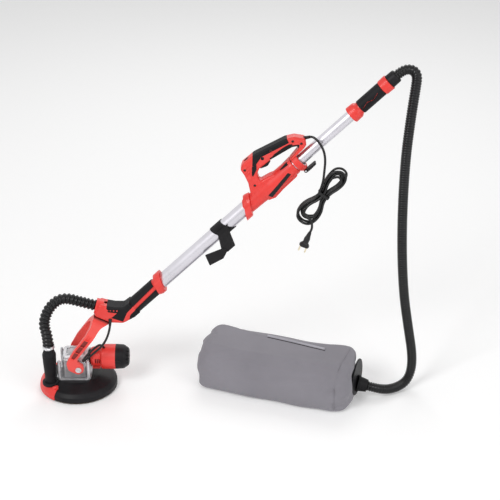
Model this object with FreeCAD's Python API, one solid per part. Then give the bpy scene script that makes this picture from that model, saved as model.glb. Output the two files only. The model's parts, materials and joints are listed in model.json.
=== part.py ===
"""Pole drywall sander: a disc head in a tilting fork on a telescopic suction pole, with its dust bag.

Frame: millimetres, +Z up, origin at the centre of the sanding face. The pole rises towards +X in the
XZ plane. Pole pieces are drawn in the pole's own frame (x along the pole, z away from its axis, above
the pivot of the head) and the fork in the fork's frame (z along its swivel axis, from the pivot).
"""
import FreeCAD, Part
import math
import os
from FreeCAD import Placement, Rotation, Vector as V

# ---- driving dimensions ------------------------------------------------------------------------
RUN = 0.06            # radial running clearance of a pin in its bore
GAP = 0.3             # clearance between faces that pass each other
FLOAT = 0.5           # side play of a pivoted piece

DISC_D = 225.0        # sanding disc and backing pad
DISC_T = 1.6
PAD_T = 10.5
PAD_HOLES = 8
PAD_HOLE_R = 6.0
PAD_HOLE_PCD = 166.0
HUB_R = 22.0
HUB_T = 6.0
SPINDLE_R = 8.0

SHROUD_CLEARANCE = 5.5
SHROUD_R = DISC_D / 2 + SHROUD_CLEARANCE
SHROUD_WALL = 2.8
SKIRT_BOTTOM = 6.0
SKIRT_TOP = 20.0
SHROUD_SHOULDER_R = 107.0
SHROUD_SHOULDER_Z = 31.0
SHROUD_CROWN_R = 64.0
SHROUD_TOP = 43.0
BRUSH_BOTTOM = 0.6
GUARD_HALF_ANGLE = 57.0
GUARD_INNER_R = 100.0

PIVOT_X = 8.0         # pivot of the head in its fork
PIVOT_Z = 88.0
PIVOT_PIN_R = 5.0
BOSS_R = 17.0
GEARBOX_HALF_Y = 37.0
GEARBOX_LEFT = -46.0
GEARBOX_RIGHT = 36.0
FLANGE_T = 7.0
GEARBOX_TOP = 111.0
COVER_T = 9.0
CAVITY_R = 32.0
PILLAR_R = 5.5

MOTOR_Z = 101.0       # height of the motor shaft, the apex of the bevel gears
MOTOR_R = 38.5
MOTOR_WALL = 3.0
NECK_R = 31.0
COLLAR_T = 6.0
NECK_LENGTH = 35.0
BARREL_LENGTH = 41.0
CAP_LENGTH = 41.0
SHAFT_R = 4.0
WHEEL_TEETH = 36
PINION_TEETH = 12
CONE_OUT = 28.0       # cone distance of the gear teeth, outer end, along the wheel's radius
TOOTH_FACE = 9.0
TOOTH_DEPTH = 2.3

FORK_LEAN = 25.7      # swivel axis of the fork, from vertical
ARM_IN = 46.2
ARM_OUT = 57.5
FORK_ROOT = 172.0
ROOT_R = 26.0
STEM_NECK_R = 14.0
STEM_HEAD_R = 17.5
STEM_NECK = 4.5
STEM_HEAD = 4.0
WASHER_T = 1.5

POLE_ANGLE = 44.0     # pole above the floor
PIVOT_DROP = 19.0     # pivot below the pole's axis
OUTER_R = 21.0
OUTER_WALL = 1.6
OUTER_START = 245.0
OUTER_END = 947.0
INNER_R = 16.0
INNER_WALL = 1.5
INNER_START = 600.0
INNER_END = 1280.0
BUSH_LENGTH = 42.0
STRAP_X = 634.0       # carrying strap
STRAP_WIDTH = 36.0
STRAP_TILT = -26.0
STRAP_T = 2.2

GRIP_HALF = 26.0      # lower grip
GRIP_R = 22.8
SLEEVE_R = 25.2
SLEEVE_START = 262.0
SKIN = 2.4
GRIP_COLLAR_R = 31.0
GRIP_COLLAR_AT = 369.0
HOSE_R = 17.0
MOUTH_X = 175.0
MOUTH_Z = 79.0
MOUTH_ANGLE = 120.3
MOUTH_R = 23.5

HANDLE_R = 25.0       # main handle
LOOP_HALF = 18.0
OVERMOULD = 2.2
HANDLE_COLLAR_R = 32.0
HANDLE_COLLAR_AT = 736.0
HANDLE_START = 728.0
HANDLE_END = 924.0
DIAL_X = 834.0
DIAL_Z = 98.0
DIAL_R = 13.0
DIAL_HALF = 4.0
TRIGGER_X = 849.0
TRIGGER_Z = 68.0
TRIGGER_HALF = 7.5
TRIGGER_PIN_R = 1.5
BUTTON_X = 874.0
BUTTON_Z = 84.0
BUTTON_R = 5.0
BUTTON_TRAVEL = 2.5
SCREW_R = 2.0

CLAMP_R = 28.5
CLAMP_START = 927.0
CLAMP_END = 947.0
LEVER_X = 934.0
LEVER_Z = -34.0
LEVER_PIN_R = 2.5
EAR_HALF = 5.0

END_GRIP_START = 1141.0
END_GRIP_END = 1285.0
END_GRIP_R = 18.4
END_SLEEVE_R = 20.6
END_COLLAR_R = 25.0
NOZZLE_END = 1312.0
NOZZLE_R = 20.0
DUST_HOSE_R = 15.0

BAG_X = 622.0
BAG_Y = -12.0
BAG_TURN = -19.0
BAG_LENGTH = 470.0
BAG_WIDTH = 190.0
BAG_HEIGHT = 132.0
RING_R = 57.0
RING_T = 5.0
RING_SIDE = 28.0

CORD_R = 3.5


# ---- helpers -----------------------------------------------------------------------------------
def rounded(corners):
    """Closed outline in the XZ plane through (x, z, radius) corners, each turned by an arc."""
    points = [V(x, 0, z) for x, z, _ in corners]
    stations = []
    for i, corner in enumerate(points):
        back = (points[i - 1] - corner).normalize()
        ahead = (points[(i + 1) % len(points)] - corner).normalize()
        radius = corners[i][2]
        if radius <= 0:
            stations.append((corner, None, corner))
            continue
        half = math.acos(max(-1.0, min(1.0, back.dot(ahead)))) / 2
        reach = radius / math.tan(half)
        middle = (back + ahead).normalize() * (radius / math.sin(half) - radius)
        stations.append((corner + back * reach, corner + middle, corner + ahead * reach))
    edges = []
    for i, (start, mid, end) in enumerate(stations):
        if mid is not None:
            edges.append(Part.Arc(start, mid, end).toShape())
        following = stations[(i + 1) % len(stations)][0]
        if (following - end).Length > 1e-6:
            edges.append(Part.LineSegment(end, following).toShape())
    return Part.Wire(edges)


def slab(corners, low, high):
    """Rounded outline pushed along Y from low to high."""
    face = Part.Face(rounded(corners))
    face.translate(V(0, low, 0))
    return face.extrude(V(0, high - low, 0))


def rod(x, z, radius, low, high):
    """Cylinder along Y."""
    return Part.makeCylinder(radius, high - low, V(x, low, z), V(0, 1, 0))


def turned_x(profile, centre_z=0.0):
    """Solid of revolution about an axis along X, from (x, radius, corner radius) points."""
    face = Part.Face(rounded(profile))
    body = face.revolve(V(0, 0, 0), V(1, 0, 0), 360)
    body.translate(V(0, 0, centre_z))
    return body


def turned_z(profile):
    """Solid of revolution about the Z axis, from (radius, z, corner radius) points."""
    return Part.Face(rounded(profile)).revolve(V(0, 0, 0), V(0, 0, 1), 360)


def ring_x(start, end, inner, outer, centre_z=0.0):
    """Round sleeve along X."""
    sleeve = Part.makeCylinder(outer, end - start, V(start, 0, centre_z), V(1, 0, 0))
    return sleeve.cut(Part.makeCylinder(inner, end - start, V(start, 0, centre_z), V(1, 0, 0)))


def ring_z(low, high, inner, outer, x=0.0, y=0.0):
    """Round sleeve along Z."""
    sleeve = Part.makeCylinder(outer, high - low, V(x, y, low))
    return sleeve.cut(Part.makeCylinder(inner, high - low, V(x, y, low)))


def tilted_slab(middle, tilt, thickness):
    """Slice across the pole whose faces lean by tilt degrees."""
    block = Part.makeBox(thickness, 200, 200, V(-thickness / 2, -100, -100))
    block.rotate(V(0, 0, 0), V(0, 1, 0), tilt)
    block.translate(V(middle, 0, 0))
    return block


def fuse(first, *others):
    """One solid from overlapping or touching solids, with merged faces."""
    return first.multiFuse(list(others)).removeSplitter()


def eased(shape, radius, pick):
    """Fillet the edges that pick accepts."""
    edges = [edge for edge in shape.Edges if pick(edge)]
    return shape.makeFillet(radius, edges) if edges else shape


def on_plane_y(level):
    """Picks edges that lie wholly in the plane y = level or y = -level."""
    def pick(edge):
        box = edge.BoundBox
        flat = box.YLength < 1e-3
        return flat and abs(abs(box.YMin) - level) < 1e-3
    return pick


def halves(shape):
    """The -Y half and the +Y half of a moulding, split at its middle plane."""
    big = 3000.0
    near = shape.common(Part.makeBox(big, big, big, V(-big / 2, -big, -big / 2)))
    far = shape.common(Part.makeBox(big, big, big, V(-big / 2, 0, -big / 2)))
    return near, far


def polar(radius, degrees, z=0.0):
    return V(radius * math.cos(math.radians(degrees)), radius * math.sin(math.radians(degrees)), z)


# ---- frames ------------------------------------------------------------------------------------
PIVOT = V(PIVOT_X, 0, PIVOT_Z)
FORK_FRAME = Placement(PIVOT, Rotation(V(0, 1, 0), FORK_LEAN))
POLE_FRAME = Placement(PIVOT, Rotation(V(0, -1, 0), POLE_ANGLE)) * Placement(V(0, 0, PIVOT_DROP), Rotation())
FORK_TO_POLE = POLE_FRAME.inverse() * FORK_FRAME


def placed(shape, placement):
    copy = shape.copy()
    copy.Placement = placement * copy.Placement
    return copy


# ---- sanding pad -------------------------------------------------------------------------------
PAD_TOP = DISC_T + PAD_T
HUB_TOP = PAD_TOP + HUB_T
BEARING_LOW = SHROUD_TOP + FLANGE_T + 2.0
BEARING_HIGH = BEARING_LOW + 9.0
CAVITY_LOW = BEARING_HIGH + 1.0
WHEEL_CONE = math.degrees(math.atan2(WHEEL_TEETH, PINION_TEETH))
APEX = V(0, 0, MOTOR_Z)


def pad_holes(low, height):
    """Ring of dust holes through the disc or the pad."""
    return [Part.makeCylinder(PAD_HOLE_R, height, polar(PAD_HOLE_PCD / 2, 360 * i / PAD_HOLES, low))
            for i in range(PAD_HOLES)]


def sanding_disc():
    return Part.makeCylinder(DISC_D / 2, DISC_T).cut(pad_holes(0, DISC_T))


def backing_pad():
    """Foam and plate: a lip round the foam, a chamfered back and dust holes in line with the disc's."""
    edge = DISC_D / 2
    body = turned_z([(0, DISC_T, 0), (edge, DISC_T, 0), (edge, PAD_TOP - 4, 1), (edge - 6, PAD_TOP, 2),
                     (0, PAD_TOP, 0)])
    return body.cut(pad_holes(DISC_T, PAD_T))


def spindle():
    """Output spindle and its clamping hub in one turned piece."""
    wheel_seat = BEARING_HIGH + GAP
    return turned_z([(0, PAD_TOP, 0), (HUB_R, PAD_TOP, 0), (HUB_R, HUB_TOP - 2, 2), (HUB_R - 8, HUB_TOP, 2),
                     (SPINDLE_R, HUB_TOP, 2), (SPINDLE_R, wheel_seat + 12, 0), (0, wheel_seat + 12, 0)])


# ---- bevel gears -------------------------------------------------------------------------------
def bevel_gear(teeth, cone, back):
    """Straight bevel gear whose cone apex is at the origin and whose axis is -Z.

    cone is the pitch half angle; every tooth is a wedge that tapers towards the apex.
    """
    outer = CONE_OUT / math.sin(math.radians(WHEEL_CONE))
    inner = outer - TOOTH_FACE
    angle = math.radians(cone)

    def on_cone(distance, lift):
        """Radius and height of a point at a cone distance, lifted square to the pitch cone."""
        radius = distance * math.sin(angle) + lift * math.cos(angle)
        height = -distance * math.cos(angle) + lift * math.sin(angle)
        return radius, height

    root = -TOOTH_DEPTH * 0.62
    (r0, z0), (r1, z1) = on_cone(inner, root * inner / outer), on_cone(outer, root)
    blank = turned_z([(0, z0, 0), (r0, z0, 0), (r1, z1, 0), (r1 * 0.93, z1 - back, 0), (0, z1 - back, 0)])
    tooth_shapes = []
    for i in range(teeth):
        ends = []
        for distance in (inner, outer):
            share = distance / outer
            low, low_z = on_cone(distance, root * 1.3 * share)
            high, high_z = on_cone(distance, TOOTH_DEPTH * 0.38 * share)
            base = 0.29 * math.tau / teeth * low
            tip = 0.13 * math.tau / teeth * high
            corners = [V(low, -base, low_z), V(high, -tip, high_z), V(high, tip, high_z), V(low, base, low_z)]
            ends.append(Part.makePolygon(corners + corners[:1]))
        tooth = Part.makeLoft(ends, True, True)
        tooth.rotate(V(0, 0, 0), V(0, 0, 1), 360 * i / teeth)
        tooth_shapes.append(tooth)
    return blank.multiFuse(tooth_shapes)


def crown_gear():
    """Driven wheel on the spindle, bored for it."""
    gear = bevel_gear(WHEEL_TEETH, WHEEL_CONE, 5.0)
    gear.translate(APEX)
    hub_low = BEARING_HIGH + GAP
    hub = Part.makeCylinder(SPINDLE_R + 5, gear.BoundBox.ZMin - hub_low + 1, V(0, 0, hub_low))
    bore = Part.makeCylinder(SPINDLE_R, 200, V(0, 0, hub_low - 50))
    return gear.fuse(hub).cut(bore)


def bevel_pinion():
    """Driving pinion on the motor shaft; half a tooth out of step so that it meshes."""
    gear = bevel_gear(PINION_TEETH, 90 - WHEEL_CONE, 3.0)
    gear.rotate(V(0, 0, 0), V(0, 0, 1), 180 / PINION_TEETH)
    gear.rotate(V(0, 0, 0), V(0, 1, 0), -90)
    gear.translate(APEX)
    return gear.cut(Part.makeCylinder(SHAFT_R, 100, APEX, V(1, 0, 0)))


# ---- dust shroud -------------------------------------------------------------------------------
def shroud_section(inset):
    """Outline of the shroud's dome, drawn in by inset, down to the skirt's lower edge."""
    rim = SHROUD_R - inset
    top = SHROUD_TOP - inset
    return [(0, SKIRT_BOTTOM, 0), (rim, SKIRT_BOTTOM, 0), (rim, SKIRT_TOP - inset, 7),
            (SHROUD_SHOULDER_R - inset, SHROUD_SHOULDER_Z - inset, 12),
            (SHROUD_CROWN_R, top, 20), (0, top, 0)]


def guard_wedge(spread, inner_r):
    """Sector on the -X side, from inner_r outwards, below the dome's shoulder."""
    height = SKIRT_TOP + 2 - BRUSH_BOTTOM
    sector = Part.makeCylinder(SHROUD_R + 20, height, V(0, 0, BRUSH_BOTTOM), V(0, 0, 1), 2 * spread)
    sector.rotate(V(0, 0, 0), V(0, 0, 1), 180 - spread)
    return sector.cut(Part.makeCylinder(inner_r, height, V(0, 0, BRUSH_BOTTOM)))


def dust_shroud():
    """Domed shell with raised ribs, a collar for the gearbox and a cut-out for the edge guard."""
    dome = turned_z(shroud_section(0))
    ribs = []
    for i in range(12):
        rib = Part.makeBox(34, 3, 40, V(SHROUD_CROWN_R - 2, -1.5, SKIRT_BOTTOM))
        rib.rotate(V(0, 0, 0), V(0, 0, 1), 15 + 30 * i)
        ribs.append(rib)
    shell_top = turned_z([(0, SKIRT_BOTTOM, 0), (SHROUD_R - 8, SKIRT_BOTTOM, 0),
                          (SHROUD_SHOULDER_R - 8, SHROUD_SHOULDER_Z + 1.5, 6),
                          (SHROUD_CROWN_R, SHROUD_TOP, 10), (0, SHROUD_TOP, 0)])
    body = dome.fuse([rib.common(shell_top) for rib in ribs])
    body = body.cut(turned_z(shroud_section(SHROUD_WALL)))
    body = body.cut(Part.makeCylinder(SPINDLE_R + 12, 60))
    port = Part.makeCylinder(CUFF_BORE, 40, V(CUFF_X, CUFF_Y, 20))
    return body.cut(port).cut(guard_wedge(GUARD_HALF_ANGLE, GUARD_INNER_R)).removeSplitter()


def rim_segment(low, high, inner, outer, spread):
    """Part of a ring about Z, spread degrees each side of -X."""
    sector = Part.makeCylinder(outer, high - low, V(0, 0, low), V(0, 0, 1), 2 * spread)
    sector.rotate(V(0, 0, 0), V(0, 0, 1), 180 - spread)
    return sector.cut(Part.makeCylinder(inner, high - low, V(0, 0, low)))


def edge_guard():
    """Pull-off rim segment that lets the disc reach a wall, with its thumb nub at one end."""
    trim = math.degrees(GAP / SHROUD_R)
    segment = turned_z(shroud_section(0)).cut(turned_z(shroud_section(SHROUD_WALL)))
    segment = segment.common(guard_wedge(GUARD_HALF_ANGLE - trim, GUARD_INNER_R + GAP))
    lip = rim_segment(SKIRT_BOTTOM, SKIRT_BOTTOM + 7, SHROUD_R - SHROUD_WALL, SHROUD_R + 2.5,
                      GUARD_HALF_ANGLE - trim)
    nub = Part.makeCylinder(7, 12, polar(SHROUD_R - 3, 180 + GUARD_HALF_ANGLE - 7, SKIRT_BOTTOM + 3))
    nub = nub.cut(turned_z(shroud_section(SHROUD_WALL)))
    return segment.multiFuse([lip, nub]).common(guard_wedge(GUARD_HALF_ANGLE - trim, GUARD_INNER_R + GAP))


def brush_arc(on_guard):
    """Bristle strip below the skirt, on the guard's arc or on the rest of the rim."""
    ring = ring_z(BRUSH_BOTTOM, SKIRT_BOTTOM, SHROUD_R - SHROUD_WALL, SHROUD_R)
    trim = math.degrees(GAP / SHROUD_R)
    if on_guard:
        return ring.common(guard_wedge(GUARD_HALF_ANGLE - trim, GUARD_INNER_R))
    return ring.cut(guard_wedge(GUARD_HALF_ANGLE, GUARD_INNER_R))


# ---- dust cuff on the shroud -------------------------------------------------------------------
CUFF_X = -80.0
CUFF_Y = -46.0
CUFF_BORE = 15.0
CUFF_WIDE_R = 21.0
CUFF_SHOULDER = 137.0
CUFF_NECK = 158.0
CUFF_TOP = 172.0
CLAMP_WIDTH = 9.0


def dust_cuff():
    """Rubber riser: a foot cut to the dome, a swelling bellows body and a spigot for the hose."""
    spigot = HOSE_R - 1.5
    base = SHROUD_SHOULDER_Z - 6
    riser = turned_z([(0, base, 0), (18, base, 0), (17.5, 62, 20), (CUFF_WIDE_R - 1, 108, 20),
                      (CUFF_WIDE_R, CUFF_SHOULDER, 6), (spigot, CUFF_NECK - 6, 3), (spigot, CUFF_NECK, 0),
                      (0, CUFF_NECK, 0)])
    flange = Part.makeCylinder(26, 9, V(0, 0, SHROUD_SHOULDER_Z + 3))
    riser = riser.fuse(eased(flange, 3, lambda edge: edge.BoundBox.ZMin > SHROUD_SHOULDER_Z + 11.9))
    folds = []
    for i in range(3):
        folds.append(Part.makeTorus(CUFF_WIDE_R + 0.6, 1.6, V(0, 0, 110 + 9 * i)))
    riser = riser.cut(folds)
    riser.translate(V(CUFF_X, CUFF_Y, 0))
    bore = Part.makeCylinder(CUFF_BORE - 2, 200, V(CUFF_X, CUFF_Y, 0))
    return riser.cut(turned_z(shroud_section(0))).cut(bore)


def hose_clamp():
    """Worm-drive band round the end of the head hose."""
    low = CUFF_NECK + 2
    band = ring_z(low, low + CLAMP_WIDTH, HOSE_R + GAP, HOSE_R + 1.6, CUFF_X, CUFF_Y)
    housing = Part.makeBox(12, 5, CLAMP_WIDTH - 2, V(CUFF_X - 6, CUFF_Y - HOSE_R - 5.4, low + 1))
    worm = Part.makeCylinder(2.6, 17, V(CUFF_X - 8, CUFF_Y - HOSE_R - 3.6, low + CLAMP_WIDTH / 2), V(1, 0, 0))
    body = fuse(band, housing, worm)
    return body.cut(Part.makeCylinder(HOSE_R + GAP, CLAMP_WIDTH, V(CUFF_X, CUFF_Y, low)))


# ---- gearbox -----------------------------------------------------------------------------------
FLANGE_LEFT = -62.0
FLANGE_RIGHT = 42.0
FLANGE_HALF_Y = 45.0
PILLARS = [(-53.0, 39.0), (-53.0, -39.0), (34.8, 39.0), (34.8, -39.0)]


def box_outline(left, right, half, radius):
    """Rounded rectangle in plan, as (x, y, radius) corners."""
    return [(left, -half, radius), (right, -half, radius), (right, half, radius), (left, half, radius)]


def upright(corners, low, high):
    """Plan outline raised along Z."""
    body = slab([(x, -y, r) for x, y, r in corners], 0, high - low)
    body.rotate(V(0, 0, 0), V(1, 0, 0), 90)
    body.translate(V(0, 0, low))
    return body


def gearbox_housing():
    """Cast housing: flange on the shroud, walled bell, pivot bosses, pillars and cooling fins."""
    flange_top = SHROUD_TOP + FLANGE_T
    flange = upright(box_outline(FLANGE_LEFT, FLANGE_RIGHT, FLANGE_HALF_Y, 14), SHROUD_TOP, flange_top)
    bell = upright(box_outline(GEARBOX_LEFT, GEARBOX_RIGHT, GEARBOX_HALF_Y, 13), flange_top, GEARBOX_TOP)
    bell = eased(bell, 3, lambda edge: edge.BoundBox.ZMin > GEARBOX_TOP - 0.01)
    bosses = rod(PIVOT_X, PIVOT_Z, BOSS_R, -ARM_IN + FLOAT, ARM_IN - FLOAT)
    pillars = []
    for x, y in PILLARS:
        side = 1 if y > 0 else -1
        pillars.append(Part.makeCylinder(PILLAR_R, GEARBOX_TOP - 8 - flange_top, V(x, y, flange_top)))
        web = Part.makeBox(10, 9, 14, V(x if x < 0 else x - 10, y if side < 0 else y - 9, GEARBOX_TOP - 24))
        pillars.append(web)
    fins = []
    for i in range(4):
        corner = V(GEARBOX_LEFT - 4, 11 - GEARBOX_HALF_Y, 62 + 9 * i)
        fins.append(Part.makeBox(5, 2 * GEARBOX_HALF_Y - 22, 2.4, corner))
    body = fuse(flange, bell, bosses, *pillars, *fins)
    body = body.cut(Part.makeCylinder(CAVITY_R, GEARBOX_TOP - CAVITY_LOW, V(0, 0, CAVITY_LOW)))
    body = body.cut(Part.makeCylinder(SPINDLE_R + 9, CAVITY_LOW - BEARING_LOW, V(0, 0, BEARING_LOW)))
    body = body.cut(Part.makeCylinder(SPINDLE_R + 3, 60, V(0, 0, SHROUD_TOP - 1)))
    body = body.cut(Part.makeCylinder(SHAFT_R + 5, 60, V(10, 0, MOTOR_Z), V(1, 0, 0)))
    for side in (-1, 1):
        start = side * (ARM_IN - 8)
        hole = Part.makeCylinder(PIVOT_PIN_R + RUN, 20, V(PIVOT_X, start, PIVOT_Z), V(0, side, 0))
        body = body.cut(hole)
    return body


def gearbox_cover():
    """Lid of the gearbox with a raised rim and a shallow recess."""
    outline = box_outline(GEARBOX_LEFT + 2, GEARBOX_RIGHT - 2, GEARBOX_HALF_Y - 2, 12)
    lid = upright(outline, GEARBOX_TOP, GEARBOX_TOP + COVER_T)
    lid = eased(lid, 3.5, lambda edge: edge.BoundBox.ZMin > GEARBOX_TOP + COVER_T - 0.01)
    recess = box_outline(GEARBOX_LEFT + 12, GEARBOX_RIGHT - 12, GEARBOX_HALF_Y - 12, 7)
    lid = lid.cut(upright(recess, GEARBOX_TOP + COVER_T - 1.6, GEARBOX_TOP + COVER_T))
    under = Part.makeCylinder(CAVITY_R, 3, V(0, 0, GEARBOX_TOP))
    return lid.cut(under)


def gearbox_bolts():
    """Socket bolts down the pillars, with washers, and one in each corner of the lid."""
    bolts = []
    top = GEARBOX_TOP - 8
    for x, y in PILLARS:
        washer = Part.makeCylinder(PILLAR_R, 1.4, V(x, y, top))
        head = Part.makeCylinder(4.4, 5, V(x, y, top + 1.4))
        bolts.append(fuse(washer, head).cut(hex_socket(x, y, top + 4)))
    lid = GEARBOX_TOP + COVER_T - 1.6
    for x in (GEARBOX_LEFT + 17, GEARBOX_RIGHT - 17):
        for y in (17 - GEARBOX_HALF_Y, GEARBOX_HALF_Y - 17):
            head = Part.makeCylinder(3.6, 3, V(x, y, lid))
            bolts.append(head.cut(hex_socket(x, y, lid + 1)))
    return Part.makeCompound(bolts)


def hex_socket(x, y, low):
    corners = [V(x, y, low) + polar(2.0, 60 * i) for i in range(7)]
    return Part.Face(Part.makePolygon(corners)).extrude(V(0, 0, 6))


# ---- motor -------------------------------------------------------------------------------------
COLLAR_X = GEARBOX_RIGHT
MOTOR_X = COLLAR_X + COLLAR_T
BARREL_X = MOTOR_X + NECK_LENGTH
CAP_X = BARREL_X + BARREL_LENGTH
CAP_END = CAP_X + CAP_LENGTH
INSIDE_R = MOTOR_R - MOTOR_WALL
FRONT_BEARING_X = MOTOR_X + 2
REAR_BEARING_X = CAP_END - 16
BEARING_T = 8.0


def motor_collar():
    """Dark spacer between the gearbox and the motor housing."""
    return ring_x(COLLAR_X, MOTOR_X, SHAFT_R + 6, NECK_R - 7, MOTOR_Z)


def motor_housing():
    """Red barrel with a stepped neck, hollow for the stator and the fan, with a front bearing seat."""
    outer = turned_x([(MOTOR_X, 0, 0), (MOTOR_X, NECK_R - 3, 3), (MOTOR_X + 8, NECK_R, 5),
                      (BARREL_X - 6, NECK_R, 4), (BARREL_X, MOTOR_R, 4), (CAP_X, MOTOR_R, 0),
                      (CAP_X, 0, 0)], MOTOR_Z)
    hollow = turned_x([(MOTOR_X + 12, 0, 0), (MOTOR_X + 12, NECK_R - MOTOR_WALL, 3),
                       (BARREL_X - 4, NECK_R - MOTOR_WALL, 3), (BARREL_X + 2, INSIDE_R, 3),
                       (CAP_X, INSIDE_R, 0), (CAP_X, 0, 0)], MOTOR_Z)
    body = outer.cut(hollow)
    seat = Part.makeCylinder(SHAFT_R + 7, BEARING_T + 4, V(FRONT_BEARING_X, 0, MOTOR_Z), V(1, 0, 0))
    bore = Part.makeCylinder(SHAFT_R + 2, 60, V(MOTOR_X - 1, 0, MOTOR_Z), V(1, 0, 0))
    body = body.cut(seat).cut(bore)
    vents = []
    for side in (-1, 1):
        for i in range(4):
            slot = Part.makeBox(3.2, 14, 16, V(MOTOR_X + 14 + 5.4 * i, side * (NECK_R - 4) - 7, MOTOR_Z - 8))
            vents.append(slot)
    body = body.cut(vents)
    foot = Part.makeBox(24, 22, 8, V(MOTOR_X + 3, -11, MOTOR_Z - NECK_R - 6))
    foot = foot.cut(Part.makeCylinder(NECK_R - 1, 60, V(MOTOR_X, 0, MOTOR_Z), V(1, 0, 0)))
    return body.fuse(foot)


def motor_end_cap():
    """Black end cap with radial air slots and the rear bearing seat."""
    cap = turned_x([(CAP_X, 0, 0), (CAP_X, MOTOR_R, 0), (CAP_END - 16, MOTOR_R - 1.5, 14),
                    (CAP_END, MOTOR_R - 13, 9), (CAP_END, 0, 0)], MOTOR_Z)
    hollow = turned_x([(CAP_X, 0, 0), (CAP_X, INSIDE_R, 0), (CAP_END - 18, INSIDE_R - 2, 10),
                       (CAP_END - 18, 0, 0)], MOTOR_Z)
    cap = cap.cut(hollow)
    seat_r = SHAFT_R + 7
    post = ring_x(REAR_BEARING_X - 6, CAP_END - 4, seat_r, seat_r + 3, MOTOR_Z)
    seat = Part.makeCylinder(seat_r, BEARING_T + 2, V(REAR_BEARING_X - 2, 0, MOTOR_Z), V(1, 0, 0))
    cap = cap.fuse(post).cut(seat)
    slots = []
    for i in range(14):
        slot = Part.makeBox(10, 2.6, 14, V(CAP_END - 9, -1.3, 17))
        slot.rotate(V(0, 0, 0), V(1, 0, 0), 360 * i / 14)
        slot.translate(V(0, 0, MOTOR_Z))
        slots.append(slot)
    cap = cap.cut(slots)
    holes = rod(BRUSH_X, MOTOR_Z, BRUSH_R, -MOTOR_R - 5, MOTOR_R + 5)
    return cap.cut(holes)


BRUSH_X = CAP_X + 9.0
BRUSH_R = 8.0


def brush_caps():
    """Slotted screw caps over the two carbon brushes."""
    caps = []
    for side in (-1, 1):
        start = V(BRUSH_X, side * (INSIDE_R - 6), MOTOR_Z)
        cap = Part.makeCylinder(BRUSH_R, 10.5, start, V(0, side, 0))
        slot = Part.makeBox(12, 2, 1.6, V(BRUSH_X - 6, side * (INSIDE_R + 3.7) - 1, MOTOR_Z - 0.8))
        caps.append(cap.cut(slot))
    return Part.makeCompound(caps)


def stator():
    """Laminated field ring with two coil shoes, pressed into the barrel."""
    ring = ring_x(BARREL_X + 4, CAP_X - 6, INSIDE_R - 7, INSIDE_R, MOTOR_Z)
    window = Part.makeCylinder(INSIDE_R - 11, 200, V(0, 0, MOTOR_Z), V(1, 0, 0))
    shoes = []
    for side in (-1, 1):
        low = min(side * (INSIDE_R - 12), side * (INSIDE_R - 4))
        shoe = Part.makeBox(CAP_X - BARREL_X - 10, 8, 24, V(BARREL_X + 4, low, MOTOR_Z - 12))
        shoes.append(shoe)
    return ring.multiFuse(shoes).cut(window)


def armature():
    """Shaft with its laminated core and commutator."""
    core_r = INSIDE_R - 11 - 1
    shaft_start = CONE_OUT - TOOTH_FACE - 2
    return turned_x([(shaft_start, 0, 0), (shaft_start, SHAFT_R, 0), (BARREL_X + 5, SHAFT_R, 0),
                     (BARREL_X + 5, core_r, 2), (CAP_X - 7, core_r, 2), (CAP_X - 7, 8, 0),
                     (CAP_X + 1, 8, 0), (CAP_X + 1, 12, 0), (CAP_X + 14, 12, 0), (CAP_X + 14, SHAFT_R, 0),
                     (REAR_BEARING_X + BEARING_T, SHAFT_R, 0), (REAR_BEARING_X + BEARING_T, 0, 0)], MOTOR_Z)


def bearings():
    """Ball bearings, as plain rings, of the spindle and of both ends of the motor shaft."""
    rings = [ring_z(BEARING_LOW, BEARING_HIGH, SPINDLE_R + RUN, SPINDLE_R + 9)]
    for x in (FRONT_BEARING_X + 1, REAR_BEARING_X):
        rings.append(ring_x(x, x + BEARING_T, SHAFT_R + RUN, SHAFT_R + 7, MOTOR_Z))
    return Part.makeCompound(rings)


def cooling_fan():
    """Bladed fan on the shaft in the neck of the housing."""
    fan_x = MOTOR_X + 20
    back = ring_x(fan_x, fan_x + 2, SHAFT_R, NECK_R - MOTOR_WALL - 2.5, MOTOR_Z)
    hub = ring_x(fan_x, fan_x + 9, SHAFT_R, 9, MOTOR_Z)
    blades = []
    for i in range(9):
        blade = Part.makeBox(9, 1.4, NECK_R - MOTOR_WALL - 11, V(fan_x, -0.7, 8))
        blade.rotate(V(0, 0, 8), V(1, 0, 0), 22)
        blade.rotate(V(0, 0, 0), V(1, 0, 0), 40 * i)
        blade.translate(V(0, 0, MOTOR_Z))
        blades.append(blade)
    limit = ring_x(fan_x, fan_x + 9, SHAFT_R, NECK_R - MOTOR_WALL - 2.5, MOTOR_Z)
    return back.multiFuse([hub] + [blade.common(limit) for blade in blades])


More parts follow.
